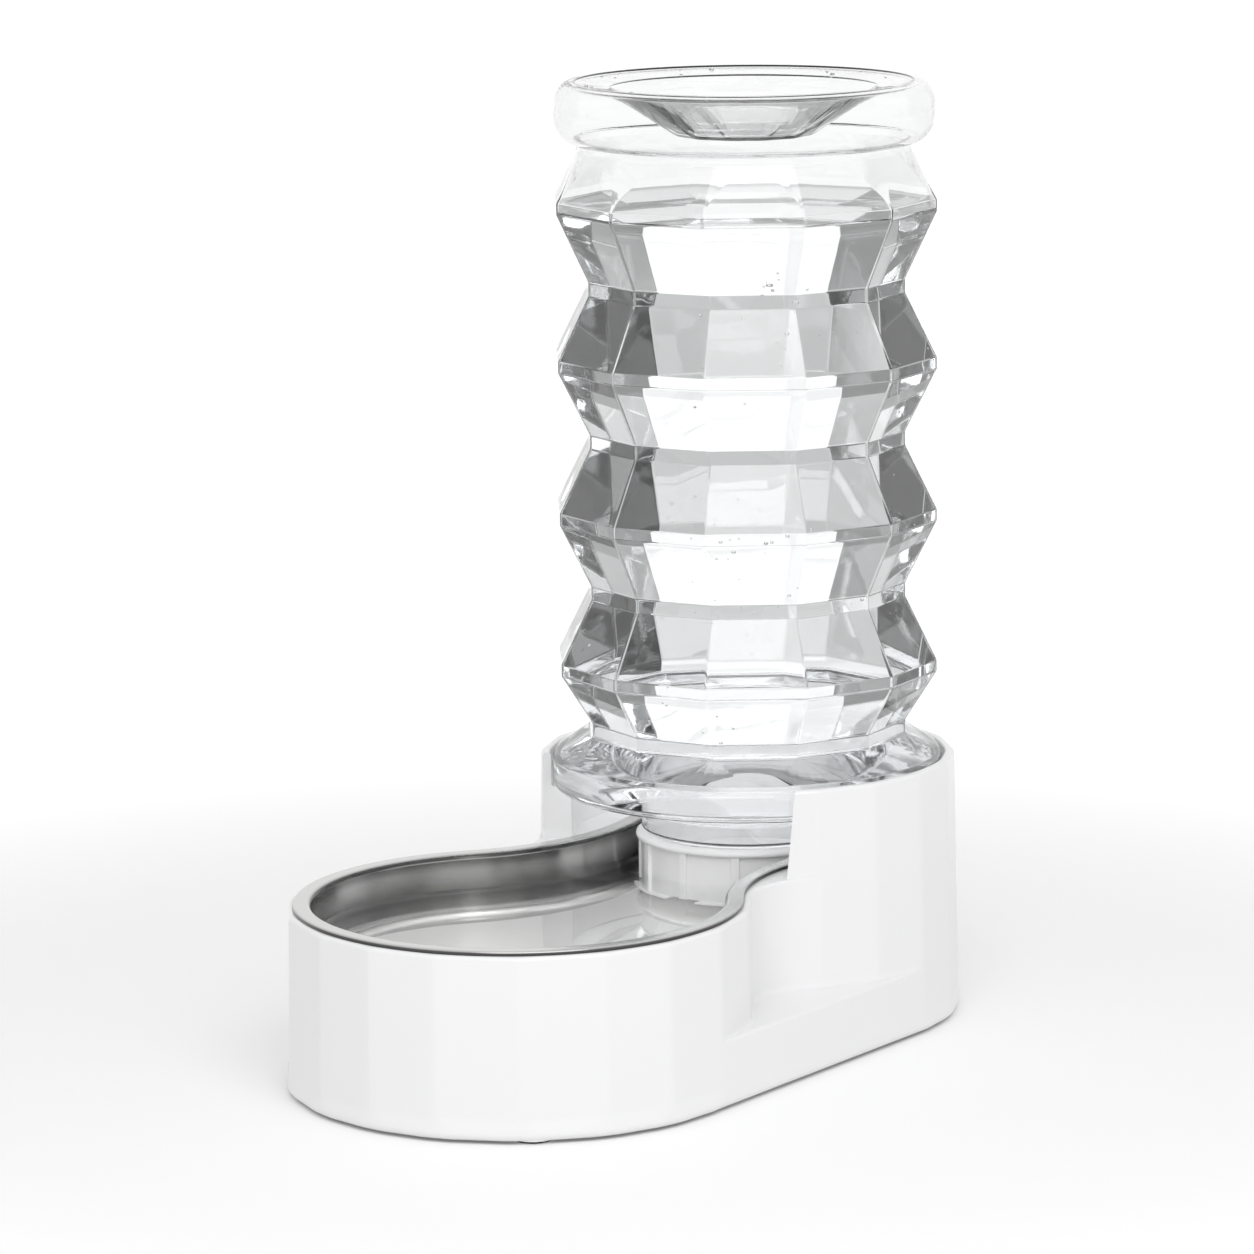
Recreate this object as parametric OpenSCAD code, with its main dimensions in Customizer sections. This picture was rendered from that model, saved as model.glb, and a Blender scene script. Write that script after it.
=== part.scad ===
/* [Base housing] */
// Radius of the bowl end of the shell at the floor
bowl_end_r = 89.3; // [80:0.1:100]
// Distance from the tower axis to the middle of the bowl end
bowl_reach = 145; // [138:1:165]
// Height of the deck that carries the steel bowl
deck_z = 70.2; // [62:0.1:90]
// Height of the tower rim above the deck
tower_rise = 34.2; // [28:0.1:50]
// Wall of the shell
shell_t = 2.6; // [2:0.1:3.4]
// Least wall of the tower above the deck
tower_t = 4; // [3:0.1:6]
// Lean of the outer walls, in degrees
draft = 1; // [0.5:0.1:1.5]
// Height of the ledge of the side recesses
ledge_z = 27; // [18:0.5:40]
// Radius of the hollow of the side recesses
recess_r = 28; // [22:1:34]
// Angle of one flat of the shell, in degrees
flat_angle = 18; // [15, 18, 22.5]
// Half angle of the tower opening at the deck, in degrees
opening_low = 47; // [40:1:50]
// Half angle of the tower opening at the rim, in degrees
opening_high = 53; // [50:1:60]
// Round of the lower edge of the shell
sole_round = 3; // [2:0.5:5]
// Round of the rim of the shell
rim_round = 1.6; // [1:0.1:2.2]
// Gap between the shell and the floor
floor_gap = 1.2; // [0.8:0.1:3]
// Height of the bottle seat above the deck
seat_rise = 20.6; // [16:0.1:24]
// Width of the bottle seat
seat_w = 8; // [5:0.5:10]

/* [Steel bowl] */
// Thickness of the steel sheet
steel_t = 0.8; // [0.6:0.1:1.2]
// Width of the bowl flange
flange_w = 7.5; // [6:0.1:9]
// Depth of the bowl below its flange
bowl_depth = 50; // [40:1:54]
// Strip of shell that shows outside the flange
rim_margin = 2.7; // [2.4:0.1:4]
// Radius of the bend between the flange and the wall
draw_r = 1.8; // [1:0.1:3]
// Radius of the bend between the wall and the floor
bowl_fillet = 9; // [5:0.5:14]
// Radius of the waist of the bowl outline
waist_blend_r = 88; // [70:1:120]
// Lean of the bowl wall, in degrees
bowl_lean = 3; // [1:0.5:4]
// Depth of the lip turned down round the flange
lip_h = 1.7; // [1.4:0.1:2.2]

/* [Bottle] */
// Radius of the round drum that stands in the tower
drum_r = 77; // [74:0.5:82]
// Distance from the side of the drum in to the ridges, at the corners
ridge_in = 1; // [0.5:0.1:4]
// Depth of the waists between the ridges
waist_depth = 12.5; // [8:0.5:18]
// Number of ridges
ridges = 4; // [2:1:6]
// Distance from one ridge to the next
ridge_pitch = 59.7; // [50:0.1:70]
// Number of flats round the bottle
bottle_sides = 12; // [8:1:16]
// Turn of the flats about the bottle axis, in degrees
bottle_turn = -5.6; // [-15:0.1:15]
// Height of the flat band along each ridge
ridge_band = 4.6; // [2:0.1:8]
// Height of the flat band along each waist
waist_band = 5.4; // [2:0.1:8]
// Height of the drum
drum_h = 14; // [10:0.5:20]
// Distance from the drum to the lowest waist
low_waist_rise = 11.4; // [9:0.1:16]
// Distance from the lowest waist to the lowest ridge
low_ridge_rise = 24.7; // [18:0.1:32]
// Distance from the side of the drum in to the collar at the top
collar_in = 2.5; // [0.5:0.1:6]
// Depth of the neck under the collar
collar_neck_depth = 9.9; // [6:0.1:14]
// Amount by which the collar stands out past the top rim
collar_out = 6.8; // [4:0.1:9]
// Distance from the highest ridge to the neck under the collar
top_waist_rise = 20.9; // [16:0.1:30]
// Height of the lower half of the collar
collar_low = 16.1; // [12:0.1:20]
// Height of the upper half of the collar
collar_high = 12; // [8:0.1:16]
// Width of the rim round the dish pushed into the top
dish_rim_w = 15.7; // [10:0.1:22]
// Radius of the flat floor of the dish
dish_floor_r = 20; // [12:0.5:28]
// Depth of the dish
dish_depth = 18.5; // [10:0.5:22]
// Wall of the bottle
bottle_t = 1.2; // [0.8:0.1:1.6]
// Outer radius of the neck above the cap
neck_r = 42; // [41:0.1:44]
// Outer radius of the neck inside the cap
finish_r = 39.4; // [38:0.1:39.8]
// Distance from the seat down to the mouth
neck_drop = 29.3; // [28:0.1:31]

/* [Cap and valve] */
// Wall of the cap
cap_t = 2.2; // [1.8:0.1:2.8]
// Radial gap left for the thread
thread_gap = 1.1; // [0.8:0.1:1.4]
// Height of the cap above its disc
cap_h = 12.4; // [10:0.1:13.4]
// Height of the bead round the top of the cap
bead_h = 2.4; // [1.6:0.1:3.4]
// Amount by which the bead stands out
bead_out = 1.3; // [0.8:0.1:2]
// Number of grip ribs
grip_ribs = 12; // [8:1:24]
// Width of a grip rib
rib_w = 3.5; // [2:0.1:5]
// Amount by which a grip rib stands out
rib_out = 0.8; // [0.4:0.1:1.2]
// Thickness of the cap disc
disc_t = 2.5; // [2:0.1:3]
// Depth of the skirt under the disc
skirt_h = 4.5; // [4:0.1:8]
// Amount by which the foot ring stands out
foot_ring_out = 2.4; // [1.6:0.1:3]
// Height of the foot ring
foot_ring_h = 2.5; // [1.5:0.1:3]
// Number of water ports in the skirt
ports = 6; // [4:1:10]
// Width of a water port
port_w = 14; // [8:0.5:18]
// Radius of the valve hole in the disc
valve_hole_r = 14; // [12:0.5:20]
// Radius of the valve stem
stem_r = 4; // [3:0.1:5]
// Radial clearance of the stem in its guide
stem_clear = 0.1; // [0.05:0.01:0.1]
// Wall of the stem guide
guide_t = 2.6; // [2:0.1:4]
// Thickness of the webs that hold the guide
web_t = 2.4; // [1.6:0.1:4]
// Lift of the valve while the bottle stands in the base
valve_lift = 5; // [3:0.1:7]
// Further travel left above the open position
over_travel = 2.5; // [1:0.1:4]
// Thickness of the rubber valve washer
washer_t = 2; // [1.5:0.1:3]
// Overlap of the washer on the disc
washer_land = 3; // [2:0.1:5]
// Radius of the foot of the valve
foot_r = 10; // [8:0.1:13]
// Thickness of the foot of the valve
foot_t = 2.4; // [1.8:0.1:3.5]
// Wire of the valve spring
spring_wire = 1; // [0.8:0.1:1.4]
// Number of turns of the valve spring
spring_turns = 6; // [4:1:8]
// Thickness of the cap gasket
gasket_t = 1.5; // [1:0.1:2]

/* [Rubber feet] */
// Radius of a rubber foot
pad_r = 7; // [5:0.5:8]
// Depth to which a rubber foot is set into the shell
pad_sink = 1.5; // [1:0.1:2.5]

/* [Hidden] */

// Clearances between pieces that seat in one another
drum_gap = 0.9;
well_gap = 0.8;
lip_gap = 0.1;
ring_gap = 1.2;
pad_gap = 0.1;
stop_gap = 0.3;
foot_gap = 0.2;
press_gap = 0.02;

// Faces along curved edges
steps = 2;
arc_steps = 4;
fine = 72;
eps = 0.01;
// Reach of a cut past the face that it opens
over = 1;

// Heights
tower_z = deck_z + tower_rise;
seat_z = deck_z + seat_rise;
bowl_top = deck_z + lip_gap + lip_h;
bowl_floor = bowl_top - bowl_depth;
mouth_z = seat_z - neck_drop;
disc_z = mouth_z - gasket_t - disc_t;
skirt_z = disc_z - skirt_h;

// Radii
function lean_in(z) = z * tan(draft);
tower_bore_r = drum_r + drum_gap;
tower_end_r = tower_bore_r + tower_t + lean_in(tower_z);
cap_bore_r = finish_r + thread_gap;
cap_r = cap_bore_r + cap_t;
foot_ring_r = cap_r + foot_ring_out;
flange_r = bowl_end_r - lean_in(deck_z) - rim_margin;
bowl_wall_lean = tan(bowl_lean);
flange_back_r = foot_ring_r + ring_gap + (bowl_top - skirt_z) * bowl_wall_lean + flange_w;

// Places of the two ends, with the origin under the middle of the whole
tower_y = (bowl_reach + bowl_end_r - tower_end_r) / 2;
bowl_y = tower_y - bowl_reach;

// Outline of a disc end, flats share 1, circle share 0, at angle t from the front
function flat_radius(r, t, share) =
    let(half = flat_angle / 2, into = t - flat_angle * floor(t / flat_angle) - half)
    r * (1 - share) + share * r * cos(half) / cos(into);
function end_point(y, r, t, share) =
    let(q = flat_radius(r, t, share)) [q * sin(t), y - q * cos(t)];

// Middle of the hollow arc that touches both ends, and the angles where it does
function hollow_y(ra, rb, rn) =
    (pow(ra + rn, 2) - pow(rb + rn, 2) + bowl_reach * bowl_reach) / (2 * bowl_reach);
function hollow_x(ra, rb, rn) = sqrt(pow(ra + rn, 2) - pow(hollow_y(ra, rb, rn), 2));
function bowl_touch(ra, rb, rn) = 180 - atan2(hollow_x(ra, rb, rn), hollow_y(ra, rb, rn));
function tower_touch(ra, rb, rn) =
    atan2(hollow_x(ra, rb, rn), bowl_reach - hollow_y(ra, rb, rn));

// Right half of a keyhole outline: bowl arc, hollow arc, tower arc
function bowl_arc(ra, last, n, share) = [for (i = [0:n]) end_point(bowl_y, ra, last * i / n, share)];
function hollow_arc(ra, rb, rn, n) =
    let(x = hollow_x(ra, rb, rn), y = bowl_y + hollow_y(ra, rb, rn),
        a = bowl_touch(ra, rb, rn), b = tower_touch(ra, rb, rn))
    [for (i = [0:n]) let(t = a + (b - a) * i / n) [x - rn * sin(t), y + rn * cos(t)]];
function tower_arc(rb, first, n, share) =
    [for (i = [0:n]) end_point(tower_y, rb, first + (180 - first) * i / n, share)];
function both_sides(half) =
    let(last = len(half) - 1)
    concat(half, [for (i = [last - 1:-1:1]) [-half[i][0], half[i][1]]]);
function smooth_keyhole(ra, rb, rn, na, nn, nb) =
    let(a = bowl_touch(ra, rb, rn), b = tower_touch(ra, rb, rn),
        hollow = hollow_arc(ra, rb, rn, nn))
    both_sides(concat(bowl_arc(ra, a, na, 0), [for (i = [1:nn - 1]) hollow[i]],
        tower_arc(rb, b, nb, 0)));

// Solid through rings of points that are listed from its low end to its high end
module loft(rings) {
    n = len(rings[0]);
    m = len(rings);
    polyhedron(
        points = [for (ring = rings) for (p = ring) p],
        faces = concat(
            [[for (i = [0:n - 1]) i]],
            [for (k = [0:m - 2]) for (i = [0:n - 1]) [k * n + i, (k + 1) * n + i, k * n + (i + 1) % n]],
            [for (k = [0:m - 2]) for (i = [0:n - 1])
                [k * n + (i + 1) % n, (k + 1) * n + i, (k + 1) * n + (i + 1) % n]],
            [[for (i = [n - 1:-1:0]) (m - 1) * n + i]]));
}
function lift(points, z) = [for (p = points) [p[0], p[1], z]];

// Shell outline: whole flats on each end, with the side either straight or hollow
bowl_flats = floor((bowl_touch(bowl_end_r, tower_end_r, recess_r) - 1) / flat_angle);
tower_flats = floor((180 - tower_touch(bowl_end_r, tower_end_r, recess_r) - 1) / flat_angle);
side_flats = floor(90 / flat_angle);
hollow_steps = 10;
// Point of the outline at a share of the way along the straight side
function side_point(ra, rb, share) =
    let(a = end_point(bowl_y, ra, side_flats * flat_angle, 0),
        b = end_point(tower_y, rb, side_flats * flat_angle, 0))
    a + (b - a) * share;
function shell_half(ra, rb, rn, hollow, flats) =
    let(a = bowl_touch(ra, rb, rn), b = tower_touch(ra, rb, rn),
        arc = hollow_arc(ra, rb, rn, hollow_steps),
        kept = side_flats * steps,
        upper_bowl = concat(
            [for (i = [kept + 1:bowl_flats * steps]) end_point(bowl_y, ra, i * flat_angle / steps, flats)],
            [for (i = [0:hollow_steps]) arc[i]],
            [for (i = [tower_flats * steps:-1:kept + 1])
                end_point(tower_y, rb, 180 - i * flat_angle / steps, flats)]),
        count = len(upper_bowl))
    concat(
        [for (i = [0:kept]) end_point(bowl_y, ra, i * flat_angle / steps, flats)],
        [for (i = [0:count - 1])
            let(side = side_point(ra, rb, (i + 1) / (count + 1)))
            side + (upper_bowl[i] - side) * hollow],
        [for (i = [kept:-1:0]) end_point(tower_y, rb, 180 - i * flat_angle / steps, flats)]);
// One level of the shell, moved inwards by an inset all round or at the bowl end alone
function shell_ring(z, inset, hollow, flats, bowl_inset = 0) =
    let(back = inset + lean_in(z))
    lift(both_sides(shell_half(bowl_end_r - back - bowl_inset, tower_end_r - back, recess_r + back,
        hollow, flats)), z);

sole_z = floor_gap;
ledge_round = 1.5;
module shell_outside() {
    loft(concat(
        [for (i = [0:arc_steps])
            let(t = 90 * i / arc_steps)
            shell_ring(sole_z + sole_round * (1 - cos(t)), sole_round * (1 - sin(t)), 0, 0)],
        [shell_ring(sole_z + 3 * sole_round, 0, 0, 1),
         shell_ring(ledge_z - ledge_round, 0, 0, 1),
         shell_ring(ledge_z - ledge_round / 4, 0, 0.03, 1),
         shell_ring(ledge_z, 0, 0.1, 1),
         shell_ring(ledge_z + eps, 0, 1, 1),
         shell_ring(deck_z - rim_round, 0, 1, 1)],
        [for (i = [1:arc_steps])
            let(t = 90 * i / arc_steps)
            shell_ring(deck_z - rim_round * (1 - sin(t)), 0, 1, 1, rim_round * (1 - cos(t)))]));
}

module shell_inside() {
    loft([shell_ring(-over, shell_t, 0, 0),
        shell_ring(sole_z + sole_round, shell_t, 0, 0),
        shell_ring(sole_z + 3 * sole_round, shell_t, 0, 1),
        shell_ring(ledge_z - shell_t, shell_t, 0, 1),
        shell_ring(ledge_z - shell_t + eps, shell_t, 1, 1),
        shell_ring(deck_z - shell_t, shell_t, 1, 1)]);
}

// Tower wall above the deck, with flats outside and a round bore
function tower_ring(z, inset) =
    let(r = tower_end_r - lean_in(z) - inset, n = round(360 / flat_angle) * steps)
    [for (i = [0:n - 1]) let(p = end_point(tower_y, r, i * 360 / n, 1)) [p[0], p[1], z]];
tower_root = 8;
module tower_wall() {
    difference() {
        union() {
            loft(concat([tower_ring(deck_z, 0), tower_ring(tower_z - rim_round, 0)],
                [for (i = [1:arc_steps])
                    let(t = 90 * i / arc_steps)
                    tower_ring(tower_z - rim_round * (1 - sin(t)), rim_round * (1 - cos(t)))]));
            translate([0, tower_y, deck_z - tower_root])
                cylinder(r = tower_bore_r + tower_t / 2, h = 2 * tower_root, $fn = fine);
        }
        translate([0, tower_y, deck_z - tower_root - over])
            cylinder(r = tower_bore_r, h = tower_rise + tower_root + 2 * over, $fn = fine);
    }
}

// Step round the bore on which the shoulder of the bottle rests
seat_t = 2.4;
seat_inner_r = tower_bore_r - seat_w;
module bottle_seat() {
    translate([0, tower_y, deck_z - shell_t])
        difference() {
            cylinder(r = tower_bore_r + tower_t / 2, h = shell_t + seat_rise, $fn = fine);
            translate([0, 0, -over])
                cylinder(r = seat_inner_r, h = shell_t + seat_rise + 2 * over, $fn = fine);
        }
}

// Pocket that hollows the step from below, with gussets left across it
gusset_t = 2;
gusset_angles = [70, 110, 145, 180, 215, 250, 290];
pocket_end = opening_high + 1.5;
module seat_pocket() {
    low = deck_z - shell_t - over;
    tall = seat_z - seat_t - low;
    translate([0, tower_y, low])
        difference() {
            rotate([0, 0, pocket_end - 90])
                rotate_extrude(angle = 360 - 2 * pocket_end, $fn = fine)
                    translate([seat_inner_r + seat_t, 0])
                        square([seat_w - seat_t, tall]);
            for (a = gusset_angles)
                rotate([0, 0, a - 90])
                    translate([seat_inner_r, -gusset_t / 2, over])
                        cube([seat_w + over, gusset_t, tall]);
        }
}

// Wedge that opens the front of the tower, wider at the rim
module tower_opening() {
    far = 2 * tower_end_r;
    hull()
        for (end = [[deck_z - tower_root - over, opening_low], [deck_z, opening_low],
            [tower_z + over, opening_high]])
            translate([0, tower_y, end[0]])
                linear_extrude(eps)
                    polygon([[0, 0], [far * sin(end[1]), -far * cos(end[1])],
                        [-far * sin(end[1]), -far * cos(end[1])]]);
}

// Hole in the deck for the steel bowl
bowl_back_r = flange_back_r - flange_w;
bowl_front_r = flange_r - flange_w;
bowl_arc_steps = 16;
waist_steps = 6;
back_arc_steps = 8;
function bowl_outline(out) =
    smooth_keyhole(bowl_front_r + out, bowl_back_r + out, waist_blend_r + flange_w - out,
        bowl_arc_steps, waist_steps, back_arc_steps);
module well_opening() {
    translate([0, 0, deck_z - 2 * shell_t])
        linear_extrude(4 * shell_t)
            polygon(bowl_outline(steel_t + well_gap));
}

// Tapered ribs under the deck, between the wall and the well
rib_drop = 24;
rib_t = 1.8;
rib_pairs = 4;
rib_pitch = 30;
rib_back = 0.4;
module deck_ribs() {
    from = bowl_front_r + steel_t + well_gap + rib_back;
    to = bowl_end_r - lean_in(deck_z) - shell_t / 2;
    for (i = [-rib_pairs:rib_pairs - 1])
        translate([0, bowl_y, deck_z - shell_t - rib_drop])
            rotate([0, 0, (i + 0.5) * rib_pitch - 90])
                hull() {
                    translate([to - over, -rib_t / 2, 0]) cube([over, rib_t, rib_drop]);
                    translate([from, -rib_t / 2, rib_drop - over]) cube([to - from, rib_t, over + eps]);
                }
}

// Sockets for the rubber feet
pad_wall = 2;
pad_boss_h = 6;
pad_front_angle = 42;
pad_rear_angle = 40;
pad_inset = pad_r + pad_wall + shell_t / 2;
function pad_place(front, side) = front
    ? [side * (bowl_end_r - pad_inset) * sin(pad_front_angle),
        bowl_y - (bowl_end_r - pad_inset) * cos(pad_front_angle)]
    : [side * (tower_end_r - pad_inset) * sin(pad_rear_angle),
        tower_y + (tower_end_r - pad_inset) * cos(pad_rear_angle)];
module pad_bosses() {
    for (front = [true, false], side = [-1, 1])
        translate(concat(pad_place(front, side), [sole_z]))
            cylinder(r = pad_r + pad_wall, h = pad_boss_h, $fn = fine);
}
module pad_sockets() {
    for (front = [true, false], side = [-1, 1])
        translate(concat(pad_place(front, side), [-over]))
            cylinder(r = pad_r + pad_gap, h = over + sole_z + pad_sink, $fn = fine);
}

module base_housing() {
    color("white")
        difference() {
            union() {
                difference() {
                    shell_outside();
                    shell_inside();
                    well_opening();
                }
                deck_ribs();
                pad_bosses();
                difference() {
                    union() {
                        tower_wall();
                        bottle_seat();
                    }
                    tower_opening();
                }
            }
            pad_sockets();
            seat_pocket();
        }
}

// Pressed keyhole tray with a flange and a lip that rests on the deck
module steel_bowl() {
    run = bowl_depth - draw_r - bowl_fillet;
    lean = run * bowl_wall_lean;
    // Ring at a distance out from the top of the wall, and a height
    function ring(out, z) = lift(bowl_outline(out), z);
    function turn(n, from, to) = [for (i = [0:n]) from + (to - from) * i / n];
    bend = draw_r + steel_t;
    bend_steps = 3;
    floor_in = lean + bowl_fillet;
    lip_round = 1;
    lip_steps = 2;
    lip_inside_round = min(0.6, (lip_h - steel_t) / 2);
    color("silver")
        loft(concat(
            [for (t = turn(arc_steps, 0, 90))
                ring(-floor_in + (bowl_fillet + steel_t) * sin(t),
                    bowl_floor - steel_t + (bowl_fillet + steel_t) * (1 - cos(t)))],
            [for (t = turn(bend_steps, 0, 90))
                ring(steel_t + draw_r * (1 - cos(t)), bowl_top - bend + draw_r * sin(t))],
            [ring(flange_w - steel_t - lip_inside_round, bowl_top - steel_t),
             ring(flange_w - steel_t, bowl_top - steel_t - lip_inside_round),
             ring(flange_w - steel_t, bowl_top - lip_h),
             ring(flange_w, bowl_top - lip_h)],
            [for (t = turn(lip_steps, 0, 90))
                ring(flange_w - lip_round * (1 - cos(t)), bowl_top - lip_round * (1 - sin(t)))],
            [for (t = turn(bend_steps, 90, 0))
                ring(bend * (1 - cos(t)), bowl_top - bend + bend * sin(t))],
            [for (t = turn(arc_steps, 90, 0))
                ring(-floor_in + bowl_fillet * sin(t), bowl_floor + bowl_fillet * (1 - cos(t)))]));
}

// Heights and radii of the bottle
drum_top = seat_z + drum_h;
ridge_r = drum_r - ridge_in;
waist_r = ridge_r - waist_depth;
low_waist_z = drum_top + low_waist_rise;
low_ridge_z = low_waist_z + low_ridge_rise;
high_ridge_z = low_ridge_z + (ridges - 1) * ridge_pitch;
top_waist_z = high_ridge_z + top_waist_rise;
collar_z = top_waist_z + collar_low;
top_z = collar_z + collar_high;
collar_r = drum_r - collar_in;
collar_neck_r = collar_r - collar_neck_depth;
top_r = collar_r - collar_out;
dish_r = top_r - dish_rim_w;

// Levels of the zigzag as [height, radius at the corners, share of round], rising
body_in = 2;
body_root = 4;
function band(z, height, r) = [[z - height / 2, r, 0], [z + height / 2, r, 0]];
zigzag_levels = concat(
    [[drum_top - body_root, drum_r - body_in, 1], [drum_top, drum_r - body_in, 1]],
    band(low_waist_z, waist_band, waist_r),
    [for (i = [0:ridges - 1])
        let(z = low_ridge_z + i * ridge_pitch)
        for (level = concat(band(z, ridge_band, ridge_r),
            i < ridges - 1 ? band(z + ridge_pitch / 2, waist_band, waist_r) : []))
            level]);

// Levels of the round collar, and of the rim and the dish, moved inwards by an inset
neck_band = 3.1;
function collar_levels(inset) =
    let(neck = collar_neck_r, low = top_waist_z + neck_band)
    concat(
        [[top_waist_z, neck, 1], [low, neck, 1]],
        [for (i = [1:arc_steps])
            let(t = 90 * i / arc_steps)
            [low + inset + (collar_z - low - inset) * (1 - cos(t)),
                neck + (collar_r - neck) * sin(t), 1]],
        [for (i = [1:arc_steps])
            let(t = 90 * i / arc_steps)
            [collar_z + (collar_high - inset) * sin(t), collar_r - collar_out * (1 - cos(t)), 1]]);
rim_flat = 3;
rim_fall = 2.4;
dish_round = 2;
dish_floor_round = 0.4;
dish_levels = [
    [top_z, top_r - rim_flat, 1],
    [top_z - rim_fall, dish_r, 1],
    [top_z - dish_depth + dish_round / 4, dish_floor_r + dish_round, dish_floor_round],
    [top_z - dish_depth, dish_floor_r, dish_floor_round]];

// Ring of the bottle: flats that meet at corners rounded with three points each, or a circle
corner_turn = 2.2;
corner_cut = 0.0015;
function bottle_ring(z, r, share) =
    let(side = 360 / bottle_sides, half = side / 2,
        turn = corner_turn + (side / 3 - corner_turn) * share,
        edge = r * (share + (1 - share) * cos(half) / cos(half - turn)))
    [for (k = [0:bottle_sides - 1]) for (j = [-1, 0, 1])
        let(q = j == 0 ? r * (1 - corner_cut * (1 - share)) : edge,
            a = k * side + j * turn + bottle_turn)
        [q * sin(a), tower_y - q * cos(a), z]];

module bottle_body(inset) {
    loft(concat(
        [for (level = concat(zigzag_levels, collar_levels(inset)))
            bottle_ring(level[0], level[1] - inset, level[2])],
        [for (level = dish_levels)
            bottle_ring(level[0] - inset, level[1] + (level[1] > dish_r ? -inset : inset / 2), level[2])]));
}

// Section of the drum, shoulder and neck
shoulder_r = drum_r - seat_w - 0.6;
shoulder_drop = 8;
neck_blend = 3;
heel = 3.5;
drum_round = 1.5;
finish_h = 11.8;
finish_step = 1;
module neck_section(inset) {
    r = drum_r - inset;
    low = inset > 0 ? mouth_z - over : mouth_z;
    polygon([
        [0, low],
        [finish_r - inset, low],
        [finish_r - inset, mouth_z + finish_h + inset],
        [neck_r - inset, mouth_z + finish_h + finish_step + inset],
        [neck_r - inset, seat_z - shoulder_drop + inset],
        [neck_r + neck_blend - inset, seat_z - shoulder_drop + neck_blend + inset],
        [shoulder_r - inset, seat_z + inset],
        [r - heel, seat_z + inset],
        [r - heel * 0.3, seat_z + heel * 0.3 + inset],
        [r, seat_z + heel + inset],
        [r, drum_top - drum_round - inset],
        [r - drum_round, drum_top - inset],
        [0, drum_top - inset]]);
}
module water_bottle() {
    color([0.82, 0.92, 0.96, 0.45])
        difference() {
            union() {
                bottle_body(0);
                translate([0, tower_y, 0]) rotate_extrude($fn = fine) neck_section(0);
            }
            bottle_body(bottle_t);
            translate([0, tower_y, 0]) rotate_extrude($fn = fine) neck_section(bottle_t);
        }
}

// Levels of the valve
washer_z = disc_z + disc_t + valve_lift;
stem_low = bowl_floor + foot_gap;
socket_h = 4;

// Cap: screw cup, disc with the valve hole, and a skirt that stands in the water
guide_bore_r = stem_r + stem_clear;
guide_r = guide_bore_r + guide_t;
guide_low = stem_low + foot_t + socket_h + over_travel + stop_gap;
cap_chamfer = 1;
port_roof = 1.5;
module valve_cap() {
    cap_top = disc_z + disc_t + cap_h;
    ring_top = skirt_z + foot_ring_h;
    color("white")
        translate([0, tower_y, 0]) {
            difference() {
                union() {
                    rotate_extrude($fn = fine)
                        polygon([
                            [valve_hole_r, disc_z],
                            [cap_bore_r - cap_chamfer, disc_z],
                            [cap_bore_r, disc_z - cap_chamfer],
                            [cap_bore_r, skirt_z],
                            [foot_ring_r, skirt_z],
                            [foot_ring_r, ring_top - cap_chamfer],
                            [foot_ring_r - cap_chamfer, ring_top],
                            [cap_r, ring_top],
                            [cap_r, cap_top - bead_h],
                            [cap_r + bead_out, cap_top - bead_h * 0.7],
                            [cap_r + bead_out, cap_top - bead_h * 0.3],
                            [cap_r, cap_top],
                            [cap_bore_r, cap_top],
                            [cap_bore_r, disc_z + disc_t],
                            [valve_hole_r, disc_z + disc_t]]);
                    for (i = [0:grip_ribs - 1])
                        rotate([0, 0, i * 360 / grip_ribs])
                            translate([cap_bore_r + cap_t / 2, -rib_w / 2, ring_top - foot_ring_h / 2])
                                cube([cap_t / 2 + rib_out, rib_w,
                                    cap_top - bead_h / 2 - ring_top + foot_ring_h / 2]);
                }
                for (i = [0:ports - 1])
                    rotate([0, 0, (i + 0.5) * 360 / ports])
                        translate([cap_bore_r - 2 * over, -port_w / 2, skirt_z - over])
                            cube([foot_ring_r - cap_bore_r + 4 * over, port_w, skirt_h + over - port_roof]);
            }
            // Guide for the stem, on three webs across the valve hole
            difference() {
                union() {
                    translate([0, 0, guide_low])
                        cylinder(r = guide_r, h = disc_z + disc_t - guide_low, $fn = fine);
                    for (a = [90, 210, 330])
                        rotate([0, 0, a])
                            translate([guide_bore_r + guide_t / 2, -web_t / 2, disc_z])
                                cube([valve_hole_r + over - guide_bore_r - guide_t / 2, web_t, disc_t]);
                }
                translate([0, 0, guide_low - over])
                    cylinder(r = guide_bore_r, h = disc_z + disc_t - guide_low + 2 * over, $fn = fine);
            }
        }
}

module cap_gasket() {
    width = 4;
    color("lightgray")
        translate([0, tower_y, disc_z + disc_t])
            difference() {
                cylinder(r = finish_r, h = gasket_t, $fn = fine);
                translate([0, 0, -over])
                    cylinder(r = finish_r - width, h = gasket_t + 2 * over, $fn = fine);
            }
}

// Valve: stem with a head, rubber washer under the head, foot on the bowl floor
head_t = 1.8;
head_in = 2;
head_slope = 1;
stem_tip_r = stem_r - 1;
stem_tip_sink = 1;
washer_r = valve_hole_r + washer_land;
socket_z = foot_t + socket_h;
module valve_stem() {
    tip_z = stem_low + foot_t - stem_tip_sink;
    head_z = washer_z + washer_t;
    color("white")
        translate([0, tower_y, 0])
            rotate_extrude($fn = fine)
                polygon([
                    [0, tip_z],
                    [stem_tip_r, tip_z],
                    [stem_tip_r, stem_low + socket_z],
                    [stem_r, stem_low + socket_z],
                    [stem_r, head_z],
                    [washer_r - head_in, head_z],
                    [washer_r - head_in - head_slope, head_z + head_t],
                    [0, head_z + head_t]]);
}
module valve_washer() {
    color("dimgray")
        translate([0, tower_y, washer_z])
            difference() {
                cylinder(r = washer_r, h = washer_t, $fn = fine);
                translate([0, 0, -over])
                    cylinder(r = stem_r + press_gap, h = washer_t + 2 * over, $fn = fine);
            }
}
foot_chamfer = 0.8;
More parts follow.
